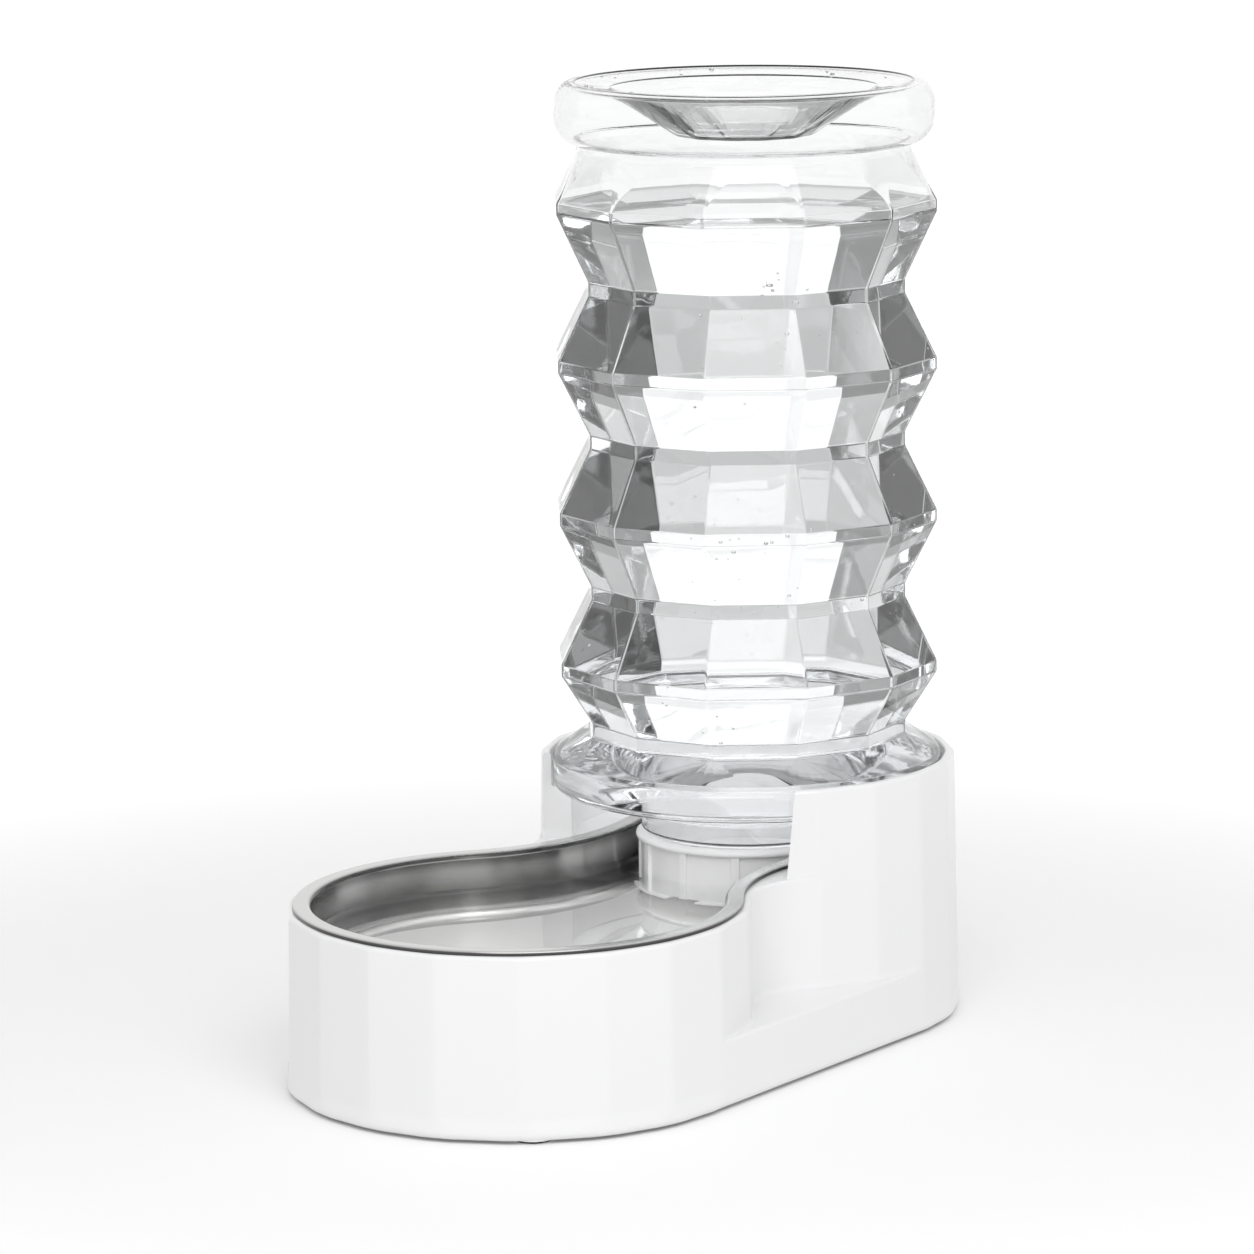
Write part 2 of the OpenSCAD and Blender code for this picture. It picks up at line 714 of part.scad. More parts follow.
module valve_foot() {
    color("white")
        translate([0, tower_y, stem_low])
            difference() {
                rotate_extrude($fn = fine)
                    polygon([
                        [0, 0],
                        [foot_r - foot_chamfer, 0],
                        [foot_r, foot_chamfer],
                        [foot_r, foot_t],
                        [stem_r, foot_t],
                        [stem_r, socket_z],
                        [0, socket_z]]);
                translate([0, 0, foot_t - stem_tip_sink - press_gap])
                    cylinder(r = stem_tip_r + press_gap, h = socket_z + over, $fn = fine);
            }
}

// Coil spring round the guide, between the webs and the foot
spring_low = stem_low + foot_t;
spring_high = disc_z;
spring_gap = 0.05;
spring_clear = 0.6;
spring_r = guide_r + spring_clear + spring_wire / 2;
module valve_spring() {
    sides = 6;
    per_turn = 14;
    count = spring_turns * per_turn;
    rise = spring_high - spring_low - spring_wire - 2 * spring_gap;
    low = spring_low + spring_wire / 2 + spring_gap;
    color("gray")
        loft([for (k = [0:count])
            let(a = k * 360 / per_turn, z = low + rise * k / count)
            [for (j = [0:sides - 1])
                let(t = -j * 360 / sides, q = spring_r + spring_wire / 2 * cos(t))
                [q * cos(a), tower_y + q * sin(a), z + spring_wire / 2 * sin(t)]]]);
}

module rubber_foot(front, side) {
    color("dimgray")
        translate(concat(pad_place(front, side), [0]))
            cylinder(r = pad_r, h = sole_z + pad_sink, $fn = fine);
}
module foot_front_left() { rubber_foot(true, -1); }
module foot_front_right() { rubber_foot(true, 1); }
module foot_rear_left() { rubber_foot(false, -1); }
module foot_rear_right() { rubber_foot(false, 1); }

base_housing();
steel_bowl();
water_bottle();
valve_cap();
cap_gasket();
valve_stem();
valve_washer();
valve_foot();
valve_spring();
foot_front_left();
foot_front_right();
foot_rear_left();
foot_rear_right();
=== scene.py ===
"""Looks of a gravity pet water dispenser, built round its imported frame.

Lengths are in millimetres until a mesh is made, which turns them into metres.
Angles are in degrees. Pieces that stand for a node take its place from the node's box.
"""
import math
import random

import bmesh
import bpy
from mathutils import Matrix, Vector


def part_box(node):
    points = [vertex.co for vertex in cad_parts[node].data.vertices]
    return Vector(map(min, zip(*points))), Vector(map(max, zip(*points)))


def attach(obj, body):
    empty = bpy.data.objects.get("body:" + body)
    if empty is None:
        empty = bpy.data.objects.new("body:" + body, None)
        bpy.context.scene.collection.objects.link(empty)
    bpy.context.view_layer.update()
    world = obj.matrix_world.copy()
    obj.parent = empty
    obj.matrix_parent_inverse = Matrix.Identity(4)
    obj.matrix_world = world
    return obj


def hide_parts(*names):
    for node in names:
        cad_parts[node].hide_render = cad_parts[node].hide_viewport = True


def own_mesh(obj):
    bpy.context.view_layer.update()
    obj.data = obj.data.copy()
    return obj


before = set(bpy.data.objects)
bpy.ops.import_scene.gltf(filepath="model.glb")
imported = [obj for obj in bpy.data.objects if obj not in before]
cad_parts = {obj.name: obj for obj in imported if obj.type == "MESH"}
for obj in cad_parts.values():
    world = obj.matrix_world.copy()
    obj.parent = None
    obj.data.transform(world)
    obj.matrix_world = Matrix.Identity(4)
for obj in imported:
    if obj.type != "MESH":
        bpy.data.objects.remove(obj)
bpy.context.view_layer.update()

MM = 0.001
BODY = "dispenser"


def node_box(name):
    """Lowest and highest corner of a node, in millimetres."""
    low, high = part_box(name)
    return low / MM, high / MM


# Places taken from the frame
BOTTLE_LOW, BOTTLE_HIGH = node_box("water_bottle")
BOWL_LOW, BOWL_HIGH = node_box("steel_bowl")
CAP_LOW, CAP_HIGH = node_box("valve_cap")
SHELL_LOW, SHELL_HIGH = node_box("base_housing")
TOWER_Y = (BOTTLE_LOW.y + BOTTLE_HIGH.y) / 2
TOP_Z = BOTTLE_HIGH.z
MOUTH_Z = BOTTLE_LOW.z
BOWL_TOP = BOWL_HIGH.z

# Camera, fitted to the photograph
IMAGE_W = 1254
FOCAL_PX = 5811
SENSOR_W = 36
CAM_DISTANCE = 2249.6
CAM_HEIGHT = 574.5
CAM_ANGLE = 36.64
CAM_YAW = 1.20
CAM_PITCH = 10.59
CAM_ROLL = -0.54
VIEW_AZIMUTH = CAM_ANGLE + CAM_YAW


def make_camera():
    a, az, p, r = (math.radians(v) for v in (CAM_ANGLE, VIEW_AZIMUTH, CAM_PITCH, CAM_ROLL))
    place = Vector((math.sin(a), -math.cos(a), 0)) * CAM_DISTANCE + Vector((0, TOWER_Y, CAM_HEIGHT))
    forward = Vector((-math.sin(az) * math.cos(p), math.cos(az) * math.cos(p), -math.sin(p)))
    flat_right = Vector((math.cos(az), math.sin(az), 0))
    flat_up = flat_right.cross(forward)
    right = flat_right * math.cos(r) + flat_up * math.sin(r)
    up = flat_up * math.cos(r) - flat_right * math.sin(r)
    data = bpy.data.cameras.new("camera")
    data.sensor_width = SENSOR_W
    data.lens = FOCAL_PX / IMAGE_W * SENSOR_W
    data.clip_end = 50
    camera = bpy.data.objects.new("camera", data)
    turn = Matrix((right, up, -forward)).transposed().to_4x4()
    camera.matrix_world = Matrix.Translation(place * MM) @ turn
    bpy.context.scene.collection.objects.link(camera)
    bpy.context.scene.camera = camera


make_camera()


# Mesh helpers

def solid(name, mesh):
    piece = bpy.data.objects.new(name, mesh)
    bpy.context.scene.collection.objects.link(piece)
    return piece


def link(name, mesh, material):
    piece = solid(name, mesh)
    piece.data.materials.append(material)
    return piece


def mesh_from(name, points, faces, smooth=True):
    """Closed mesh from points in millimetres, with its normals turned outwards."""
    mesh = bpy.data.meshes.new(name)
    mesh.from_pydata([Vector(p) * MM for p in points], [], faces)
    work = bmesh.new()
    work.from_mesh(mesh)
    bmesh.ops.recalc_face_normals(work, faces=work.faces)
    for face in work.faces:
        face.smooth = smooth
    work.to_mesh(mesh)
    work.free()
    return mesh


def bands(count, rows, closed=False):
    """Faces between neighbouring rows of points, where each row is a ring of count points."""
    faces = []
    for k in range(rows if closed else rows - 1):
        here, after = k * count, (k + 1) % rows * count
        faces += [(here + i, here + (i + 1) % count, after + (i + 1) % count, after + i)
                  for i in range(count)]
    return faces


def end_faces(count, total):
    """One face over the first ring of points and one over the last."""
    return [tuple(range(count)), tuple(range(total - 1, total - count - 1, -1))]


def loft(name, rings, fans=True):
    """Mesh through rings with the same number of points, closed by a fan or one face at each end."""
    count = len(rings[0])
    points = [p for ring in rings for p in ring]
    faces = bands(count, len(rings))
    for base, ring in ((0, rings[0]), ((len(rings) - 1) * count, rings[-1])):
        if not fans:
            faces.append(tuple(range(base, base + count)))
        else:
            points.append(sum((Vector(p) for p in ring), Vector()) / count)
            hub = len(points) - 1
            faces += [(base + i, base + (i + 1) % count, hub) for i in range(count)]
    return mesh_from(name, points, faces)


def weigh_normals(piece, keep_sharp=False):
    """Shades rounded edges smooth and leaves flat faces flat."""
    modifier = piece.modifiers.new("weighted_normals", "WEIGHTED_NORMAL")
    modifier.keep_sharp = keep_sharp
    modifier.weight = 100
    return piece


def lofted(name, rings, material, fans=True):
    """Smooth piece through rings."""
    return weigh_normals(link(name, loft(name, rings, fans), material))


def combined(target, cutter, operation):
    """Joins or cuts a mesh object by another, which is then removed."""
    modifier = target.modifiers.new("boolean", "BOOLEAN")
    modifier.operation = operation
    modifier.solver = "EXACT"
    modifier.object = cutter
    bpy.context.view_layer.update()
    graph = bpy.context.evaluated_depsgraph_get()
    mesh = bpy.data.meshes.new_from_object(target.evaluated_get(graph))
    target.modifiers.remove(modifier)
    target.data = mesh
    bpy.data.objects.remove(cutter)
    return target


def several(name, parts):
    """One mesh object made of several closed shells that don't touch, as (points, faces)."""
    points, faces = [], []
    for part_points, part_faces in parts:
        faces += [tuple(i + len(points) for i in face) for face in part_faces]
        points += part_points
    return solid(name, mesh_from(name, points, faces))


def prism(outline, low, high):
    """Closed shell over a level outline, as (points, faces)."""
    count = len(outline)
    points = [(x, y, low) for x, y in outline] + [(x, y, high) for x, y in outline]
    ends = [tuple(range(count - 1, -1, -1)), tuple(range(count, 2 * count))]
    return points, bands(count, 2) + ends


def circle(radius, x=0, y=0, count=64):
    turns = [2 * math.pi * i / count for i in range(count)]
    return [(x + radius * math.cos(t), y + radius * math.sin(t)) for t in turns]


def quarter(steps):
    """Angles from nothing to a right angle, in radians."""
    return [math.pi / 2 * i / steps for i in range(steps + 1)]


def directions(angle):
    """Level directions outwards and sideways at an angle from the front."""
    a = math.radians(angle)
    return Vector((math.sin(a), -math.cos(a))), Vector((math.cos(a), math.sin(a)))


def tower_point(r, a, z):
    """Point at a distance from the tower axis and an angle in radians from the front."""
    return r * math.sin(a), TOWER_Y - r * math.cos(a), z


def ring_of_profile(profile_at, angles, closed=True):
    """Shell swept round the tower axis: profile_at gives (r, z) points at an angle from the front."""
    rows = [profile_at(t) for t in angles]
    points = [tower_point(r, math.radians(t), z) for t, row in zip(angles, rows) for r, z in row]
    faces = bands(len(rows[0]), len(rows), closed)
    if not closed:
        faces += end_faces(len(rows[0]), len(points))
    return points, faces


def drop_flaps(work):
    """Splits large faces into triangles and removes pairs that lie back to back."""
    bmesh.ops.triangulate(work, faces=[face for face in work.faces if len(face.verts) > 4])
    found = {}
    for face in work.faces:
        found.setdefault(frozenset(face.verts), []).append(face)
    doubled = [face for group in found.values() if len(group) > 1 for face in group]
    bmesh.ops.delete(work, geom=doubled, context="FACES")
    loose = [edge for edge in work.edges if not edge.link_faces]
    bmesh.ops.delete(work, geom=loose, context="EDGES")


MERGE = 0.004 * MM


def finished(name, piece, material, sharp_angle):
    """Names a cut solid, merges doubled points and splits its shading at sharp edges."""
    piece.name = name
    mesh = piece.data
    mesh.name = name
    work = bmesh.new()
    work.from_mesh(mesh)
    bmesh.ops.remove_doubles(work, verts=work.verts, dist=MERGE)
    bmesh.ops.dissolve_degenerate(work, dist=MERGE, edges=work.edges)
    drop_flaps(work)
    bmesh.ops.recalc_face_normals(work, faces=work.faces)
    for face in work.faces:
        face.smooth = True
    for edge in work.edges:
        edge.smooth = len(edge.link_faces) == 2 and edge.calc_face_angle() < math.radians(sharp_angle)
    work.to_mesh(mesh)
    work.free()
    mesh.materials.clear()
    mesh.materials.append(material)
    return weigh_normals(piece, keep_sharp=True)


# Bend, in radians, from which a corner turns nearly back on itself
NEARLY_BACK = 3


def arc_frame(corner, a, b, bend, cut):
    """Middle of the arc that rounds a corner between two arms, and the ways to its two ends."""
    one, two = a.normalized(), b.normalized()
    middle = corner + (one + two).normalized() * math.hypot(cut, cut / math.tan(bend / 2))
    return middle, corner + one * cut - middle, corner + two * cut - middle


def rounded(path, turns=4):
    """A path of (r, z, share, fillet) with each corner turned into an arc, as (r, z, share)."""
    result = [path[0][:3]]
    for before, here, after in zip(path, path[1:], path[2:]):
        a, b = (Vector(p[:2]) - Vector(here[:2]) for p in (before, after))
        bend = math.pi - a.angle(b)
        if here[3] <= 0 or bend < 0.01:
            result.append(here[:3])
            continue
        cut = min(here[3] * math.tan(bend / 2), 0.48 * a.length, 0.48 * b.length)
        radius = cut / math.tan(bend / 2)
        middle, start, end = arc_frame(Vector(here[:2]), a, b, bend, cut)
        share_a = here[2] + (before[2] - here[2]) * cut / a.length
        share_b = here[2] + (after[2] - here[2]) * cut / b.length
        for k in range(turns + 1):
            t = k / turns
            arm = start.slerp(end, t) if bend < NEARLY_BACK else start.lerp(end, t)
            point = middle + arm.normalized() * radius
            result.append((point.x, point.y, share_a + (share_b - share_a) * t))
    result.append(path[-1][:3])
    return result


def offset(path, distance):
    """A path of (r, z, ...) moved to its right by a distance, with its other values kept."""
    moved = []
    for i, here in enumerate(path):
        normals = []
        for a, b in ((i - 1, i), (i, i + 1)):
            if a >= 0 and b < len(path):
                step = Vector(path[b][:2]) - Vector(path[a][:2])
                if step.length > 1e-6:
                    step.normalize()
                    normals.append(Vector((step.y, -step.x)))
        if len(normals) == 2:
            shift = (normals[0] + normals[1]) / max(0.3, 1 + normals[0].dot(normals[1]))
        else:
            shift = normals[0]
        moved.append((here[0] + shift.x * distance, here[1] + shift.y * distance, *here[2:]))
    return moved


# Bottle

SIDES = 12
BOTTLE_TURN = -5.6
CORNER_R = 2.6
CORNER_POINTS = 6
RIDGE_R = 76
WAIST_R = 63.5
RIDGES = 4
RIDGE_PITCH = 59.7
LOW_RIDGE_Z = 140.9
LOW_WAIST_Z = 116.2
TOP_RIDGE_LIFT = 1.6
RIDGE_BAND = 4.6
WAIST_BAND = 5.4
DRUM_R = 77
DRUM_TOP = 104.8
SEAT_Z = 90.8
COLLAR_R = 74.5
TOP_R = 67.7
COLLAR_Z = TOP_Z - 12
COLLAR_NECK_R = 65.3
COLLAR_NECK_LOW = 342.2
COLLAR_NECK_HIGH = 345.2
SHOULDER_LEVELS = 10
DISH_R = 52
DISH_FLOOR_R = 26
DISH_DEPTH = 18.5
DISH_EXTRA = 2.2
DISH_POINTS = 8
DISH_EDGE_DROP = 2.6
RIM_W = 3
NECK_R = 42
FINISH_R = 39.4
BOTTLE_T = 1.2
WATER_INSET = BOTTLE_T * 0.6
WATER_LOW = 7.4
WATER_Z = 319.7
BOWL_WATER_Z = 57.8


def bottle_ring(radius, z, share):
    """Ring of the bottle: a polygon with rounded corners at share 0, a circle at share 1."""
    half = math.radians(180 / SIDES)
    corner_r = CORNER_R * (1 - share) + radius * share
    hub = (radius - CORNER_R / math.cos(half)) * (1 - share)
    reach = half * (1 - share / CORNER_POINTS)
    ring = []
    for k in range(SIDES):
        corner = math.radians(k * 360 / SIDES + BOTTLE_TURN)
        for j in range(CORNER_POINTS):
            t = corner + reach * (2 * j / (CORNER_POINTS - 1) - 1)
            x = hub * math.sin(corner) + corner_r * math.sin(t)
            y = hub * math.cos(corner) + corner_r * math.cos(t)
            ring.append((x, TOWER_Y - y, z))
    return ring


def zigzag():
    """Side of the bottle from the highest ridge down to the lowest waist."""
    path = []
    for i in range(RIDGES - 1, -1, -1):
        z = LOW_RIDGE_Z + i * RIDGE_PITCH
        lift = TOP_RIDGE_LIFT if i == RIDGES - 1 else 0
        path += [(RIDGE_R, z + lift + RIDGE_BAND / 2, 0, 1.6),
                 (RIDGE_R, z + lift - RIDGE_BAND / 2, 0, 1.6)]
        waist = z - RIDGE_PITCH / 2 if i else LOW_WAIST_Z
        path += [(WAIST_R, waist + WAIST_BAND / 2, 0, 2), (WAIST_R, waist - WAIST_BAND / 2, 0, 2)]
    return path


def collar():
    """Round collar from the top rim down to the neck under it, as two quarters of ellipses."""
    turns = quarter(9)
    upper = [(TOP_R + (COLLAR_R - TOP_R) * math.sin(t),
              COLLAR_Z + (TOP_Z - COLLAR_Z) * math.cos(t)) for t in turns]
    lower = [(COLLAR_NECK_R + (COLLAR_R - COLLAR_NECK_R) * math.cos(t),
              COLLAR_Z - (COLLAR_Z - COLLAR_NECK_HIGH) * math.sin(t)) for t in turns[1:]]
    return [(r, z, 1, 0) for r, z in upper + lower]


def shoulder():
    """Levels between the round neck and the highest ridge, where the flats grow out of the circle."""
    neck = Vector((COLLAR_NECK_R, COLLAR_NECK_LOW))
    ridge = Vector(zigzag()[0][:2])
    shares = [i / SHOULDER_LEVELS for i in range(1, SHOULDER_LEVELS)]
    return [(*neck.lerp(ridge, t), (1 - t) ** 2, 0) for t in shares]


def bottle_path():
    """Outer profile from the middle of the dish to the mouth, as (r, z, share, fillet)."""
    top = [
        (2, TOP_Z - DISH_DEPTH, 0.5, 0),
        (DISH_FLOOR_R, TOP_Z - DISH_DEPTH, 0.05, 5),
        (DISH_R, TOP_Z - DISH_EDGE_DROP, 1, 2),
        (TOP_R - RIM_W, TOP_Z - 0.9, 1, 0.8),
        (TOP_R - 2, TOP_Z, 1, 0.8),
        *collar(),
        (COLLAR_NECK_R, COLLAR_NECK_LOW, 1, 2),
    ]
    drum = [
        (DRUM_R - 1.4, DRUM_TOP + 0.6, 1, 1.2),
        (DRUM_R, DRUM_TOP - 1.4, 1, 1.6),
        (DRUM_R, SEAT_Z + 1.6, 1, 2.4),
        (DRUM_R - 2.6, SEAT_Z, 1, 1.5),
        (68, SEAT_Z, 1, 2),
        (45, SEAT_Z - 5, 1, 3),
        (NECK_R, SEAT_Z - 8.6, 1, 2.5),
        (NECK_R, MOUTH_Z + 12.8, 1, 0.8),
        (FINISH_R, MOUTH_Z + 11.8, 1, 0.8),
        (FINISH_R, MOUTH_Z, 1, 0),
    ]
    return top + shoulder() + zigzag() + drum


def make_bottle(material):
    outer = rounded(bottle_path())
    inner = offset(outer, BOTTLE_T)
    for i, (r, z, share) in enumerate(inner[:DISH_POINTS]):
        if r < DISH_FLOOR_R + 4:
            inner[i] = (r, z - DISH_EXTRA, share)
    inner[-1] = (inner[-1][0], MOUTH_Z, 1)
    return lofted("bottle_shell", [bottle_ring(*v) for v in outer + inner[::-1]], material)


def make_bottle_water(material):
    """Water body whose sides lie inside the thickness of the wall, with a slightly raised edge."""
    wall = [v for v in offset(rounded(bottle_path()), WATER_INSET) if v[1] < WATER_Z - 0.5]
    edge = RIDGE_R - WATER_INSET
    surface = [(4, WATER_Z, 0.3), (edge - 6, WATER_Z, 0), (edge - 3, WATER_Z + 0.08, 0),
               (edge - 1.6, WATER_Z + 0.3, 0), (edge - 0.5, WATER_Z + 0.9, 0), (edge, WATER_Z + 0.9, 0)]
    floor = [(FINISH_R - WATER_INSET, CAP_LOW.z + WATER_LOW, 1)]
    mesh = loft("bottle_water", [bottle_ring(*v) for v in surface + wall + floor])
    add_balls(mesh, bubble_places(wall), True)
    return weigh_normals(link("bottle_water", mesh, material))


def add_balls(mesh, places, hollow):
    """Adds small ellipsoids to a mesh: (middle, radius, flatness), turned inside out if hollow."""
    work = bmesh.new()
    work.from_mesh(mesh)
    for middle, radius, flatness in places:
        matrix = Matrix.Translation(Vector(middle) * MM) @ Matrix.Diagonal((1, 1, flatness, 1))
        ball = bmesh.ops.create_icosphere(work, subdivisions=2, radius=radius * MM, matrix=matrix)
        faces = list({face for vert in ball["verts"] for face in vert.link_faces})
        for face in faces:
            face.smooth = True
        if hollow:
            bmesh.ops.reverse_faces(work, faces=faces)
    work.to_mesh(mesh)
    work.free()


# Groups of bubbles: azimuth from the photograph's view, height, spread of both, count
BUBBLE_GROUPS = ((8, 298, 3, 2.5, 5), (6, 273, 16, 6, 20), (-2, 198, 9, 6, 14), (-20, 148, 10, 7, 8),
                 (14, 176, 14, 8, 8), (0, 128, 24, 5, 7), (120, 240, 60, 45, 14),
                 (-120, 220, 60, 60, 14), (180, 200, 40, 80, 12))
BUBBLE_LOW = 112
BUBBLE_REACH = 4
BUBBLE_IN = 1.6
BUBBLE_FLATNESS = 0.8
# Share of the ridge's radius at the middle of a flat
FLAT_SHARE = 0.962
# One large bubble: azimuth from the photograph's view, height, distance in, radius, flatness
LARGE_BUBBLE = (8, 297, 3, 1.5, 0.55)


def bubble_places(wall):
    """Bubbles that cling to the inside of the bottle, close under its wall."""
    luck = random.Random(11)
    line = sorted((z, r) for r, z, share in wall)
    places = []
    for azimuth, height, turn, rise, count in BUBBLE_GROUPS:
        for _ in range(count):
            z = min(max(luck.gauss(height, rise), BUBBLE_LOW), WATER_Z - 4)
            a = math.radians(VIEW_AZIMUTH + luck.gauss(azimuth, turn))
            radius = 0.34 + 0.6 * luck.random() ** 3
            nearby = [r for near, r in line if abs(near - z) < BUBBLE_REACH]
            wall_r = max(min(nearby, default=WAIST_R), straight_radius(line, z))
            r = wall_r * FLAT_SHARE - BUBBLE_IN - radius
            places.append((tower_point(r, a, z), radius, BUBBLE_FLATNESS))
    azimuth, z, inward, radius, flatness = LARGE_BUBBLE
    r = straight_radius(line, z) * FLAT_SHARE - inward
    places.append((tower_point(r, math.radians(VIEW_AZIMUTH + azimuth), z), radius, flatness))
    return places


def straight_radius(line, z):
    """Radius of the wall at a height, on straight lines between its points (z, r)."""
    for (low, ra), (high, rb) in zip(line, line[1:]):
        if low <= z <= high and high > low:
            return ra + (rb - ra) * (z - low) / (high - low)
    return WAIST_R


DROPLETS = 46
DROPLET_FLATNESS = 0.6
ON_RIM = 0.6
RIM_RISE = 1.7


def make_droplets(material):
    """Small drops left on the rim and the cone of the dish."""
    luck = random.Random(4)
    places = []
    for _ in range(DROPLETS):
        a = luck.uniform(0, 2 * math.pi)
        if luck.random() < ON_RIM:
            r = luck.uniform(DISH_R + 2, TOP_R - 4.5)
            z = TOP_Z - DISH_EDGE_DROP + RIM_RISE * (r - DISH_R) / (TOP_R - RIM_W - DISH_R)
        else:
            r = luck.uniform(DISH_FLOOR_R + 4, DISH_R - 2)
            z = TOP_Z - DISH_DEPTH
            z += (DISH_DEPTH - DISH_EDGE_DROP) * (r - DISH_FLOOR_R) / (DISH_R - DISH_FLOOR_R)
        size = 0.45 + 0.7 * luck.random() ** 2
        places.append((tower_point(r, a, z), size, DROPLET_FLATNESS))
    mesh = bpy.data.meshes.new("droplets")
    add_balls(mesh, places, False)
    return link("droplets", mesh, material)


# Keyhole outlines of the steel tray

FLANGE_W = 7.5
STEEL_T = 0.8
WAIST_BLEND_R = 88
DRAW_R = 1.8
BOWL_DEPTH = 50
BOWL_FILLET = 9
BOWL_LEAN = 3
LIP_ROUND = 1.1
LIP_H = 1.7
FLANGE_R = BOWL_HIGH.x
BOWL_Y = BOWL_LOW.y + FLANGE_R
REACH = TOWER_Y - BOWL_Y
FRONT_R = FLANGE_R - FLANGE_W
BACK_R = BOWL_HIGH.y - TOWER_Y - FLANGE_W
BOWL_FLOOR_Z = BOWL_TOP - BOWL_DEPTH
# Distance from the wall's top in to the level part of the floor
BOWL_FLOOR_IN = (BOWL_DEPTH - DRAW_R - BOWL_FILLET) * math.tan(math.radians(BOWL_LEAN)) + BOWL_FILLET


def waist_middle(ra, rb, rn):
    """Middle of the hollow arc between the two round ends, back from the front one and aside."""
    away = ((ra + rn) ** 2 - (rb + rn) ** 2 + REACH ** 2) / (2 * REACH)
    return away, math.sqrt((ra + rn) ** 2 - away ** 2)


def keyhole(out, z, front_n=44, waist_n=18, back_n=26):
    """Outline of the tray wall, moved outwards by a distance, at a height."""
    ra, rb, rn = FRONT_R + out, BACK_R + out, WAIST_BLEND_R + FLANGE_W - out
    away, side = waist_middle(ra, rb, rn)
    a = math.pi - math.atan2(side, away)
    b = math.atan2(side, REACH - away)
    turns = [a * i / front_n for i in range(front_n)]
    half = [(ra * math.sin(t), BOWL_Y - ra * math.cos(t)) for t in turns]
    for i in range(waist_n):
        t = a + (b - a) * i / waist_n
        half.append((side - rn * math.sin(t), BOWL_Y + away + rn * math.cos(t)))
    for i in range(back_n + 1):
        t = b + (math.pi - b) * i / back_n
        half.append((rb * math.sin(t), TOWER_Y - rb * math.cos(t)))
    return [(x, y, z) for x, y in half + [(-x, y) for x, y in half[-2:0:-1]]]


def arc(radius, start, end, steps):
    """Points (across, up) of an arc round its own middle, angles from the downward direction."""
    turns = [math.radians(start + (end - start) * i / steps) for i in range(steps + 1)]
    return [(radius * math.sin(t), -radius * math.cos(t)) for t in turns]


def make_tray(material):
    bend = DRAW_R + STEEL_T
    turn = 90 - BOWL_LEAN

    def bowl_side(fillet, low, draw, high):
        """Profile from the floor up the wall to the flange, as (out, z)."""
        path = [(-BOWL_FLOOR_IN - 9, low), (-BOWL_FLOOR_IN - 3, low)]
        path += [(x - BOWL_FLOOR_IN, low + fillet + z) for x, z in arc(fillet, 0, turn, 8)]
        turns = [math.radians(turn * (1 - i / 6)) for i in range(7)]
        return path + [(bend + draw * -math.sin(t), high - draw + draw * math.cos(t)) for t in turns]

    inner = bowl_side(BOWL_FILLET, BOWL_FLOOR_Z, bend, BOWL_TOP)
    outer = bowl_side(BOWL_FILLET + STEEL_T, BOWL_FLOOR_Z - STEEL_T, DRAW_R, BOWL_TOP - STEEL_T)
    lip = [(FLANGE_W - LIP_ROUND + x, BOWL_TOP - LIP_ROUND - z) for x, z in arc(LIP_ROUND, 0, 90, 6)]
    lip += [(FLANGE_W, BOWL_TOP - LIP_H), (FLANGE_W - 0.2, BOWL_TOP - LIP_H - 0.05),
            (FLANGE_W - STEEL_T + 0.2, BOWL_TOP - LIP_H - 0.05), (FLANGE_W - STEEL_T, BOWL_TOP - LIP_H)]
    lip += [(FLANGE_W - STEEL_T, BOWL_TOP - STEEL_T - 0.5),
            (FLANGE_W - STEEL_T - 0.5, BOWL_TOP - STEEL_T)]
    rings = [keyhole(out, z) for out, z in inner + lip + outer[::-1]]
    return lofted("tray", rings, material, False)


def make_tray_water(material):
    """Water in the tray, with its sides inside the steel and a slightly raised edge."""
    edge = -(BOWL_TOP - DRAW_R - BOWL_WATER_Z) * math.tan(math.radians(BOWL_LEAN)) + STEEL_T / 2
    low = BOWL_FLOOR_Z - STEEL_T / 2
    fillet = BOWL_FILLET + STEEL_T / 2
    levels = [(edge - 9, BOWL_WATER_Z), (edge - 4, BOWL_WATER_Z), (edge - 2, BOWL_WATER_Z + 0.15),
              (edge - 0.9, BOWL_WATER_Z + 0.5), (edge, BOWL_WATER_Z + 0.9)]
    levels += [(x - BOWL_FLOOR_IN, low + fillet + z) for x, z in arc(fillet, 90 - BOWL_LEAN, 0, 8)]
    levels += [(-BOWL_FLOOR_IN - 4, low), (-BOWL_FLOOR_IN - 9, low)]
    return lofted("tray_water", [keyhole(out, z) for out, z in levels], material, False)


# White base housing

DECK_Z = 70.2
TOWER_Z = SHELL_HIGH.z
SOLE_Z = SHELL_LOW.z
BOWL_END_R = min(SHELL_HIGH.x, BOWL_Y - SHELL_LOW.y) - 0.01
RECESS_R = 28
SHELL_T = 2.6
SOLE_ROUND = 3
RIM_ROUND = 1.6
LEDGE_Z = 27
LEDGE_ROUND = 1.3
LEDGE_FILLET = 2.6
FLAT_ROUND = 0.16
BOWL_CORNERS = (0, 18, 39, 60, 78, 97, 116, 135)
TOWER_FLAT = 17.7
TOWER_CORNERS = tuple(TOWER_FLAT * k for k in range(8))
TOWER_ALL_CORNERS = tuple(TOWER_FLAT * k for k in range(12))
# Angles up to which the two ends of the shell have flats, and the corner at which a ledge ends
BOWL_LAST = 127
TOWER_LAST = 124
LEDGE_CORNER = 5
BORE_R = DRUM_R + 0.9
SEAT_R = BORE_R - 8
SEAT_T = 2.4
SEAT_ROUND = 0.8
ROOT_LIFT = 0.7
OPENING_LOW = 47
OPENING_HIGH = 49.5
OPENING_TURN = 30
SHELL_LEAN = math.tan(math.radians(1))
TOWER_END_R = BORE_R + 4 + SHELL_LEAN * TOWER_Z


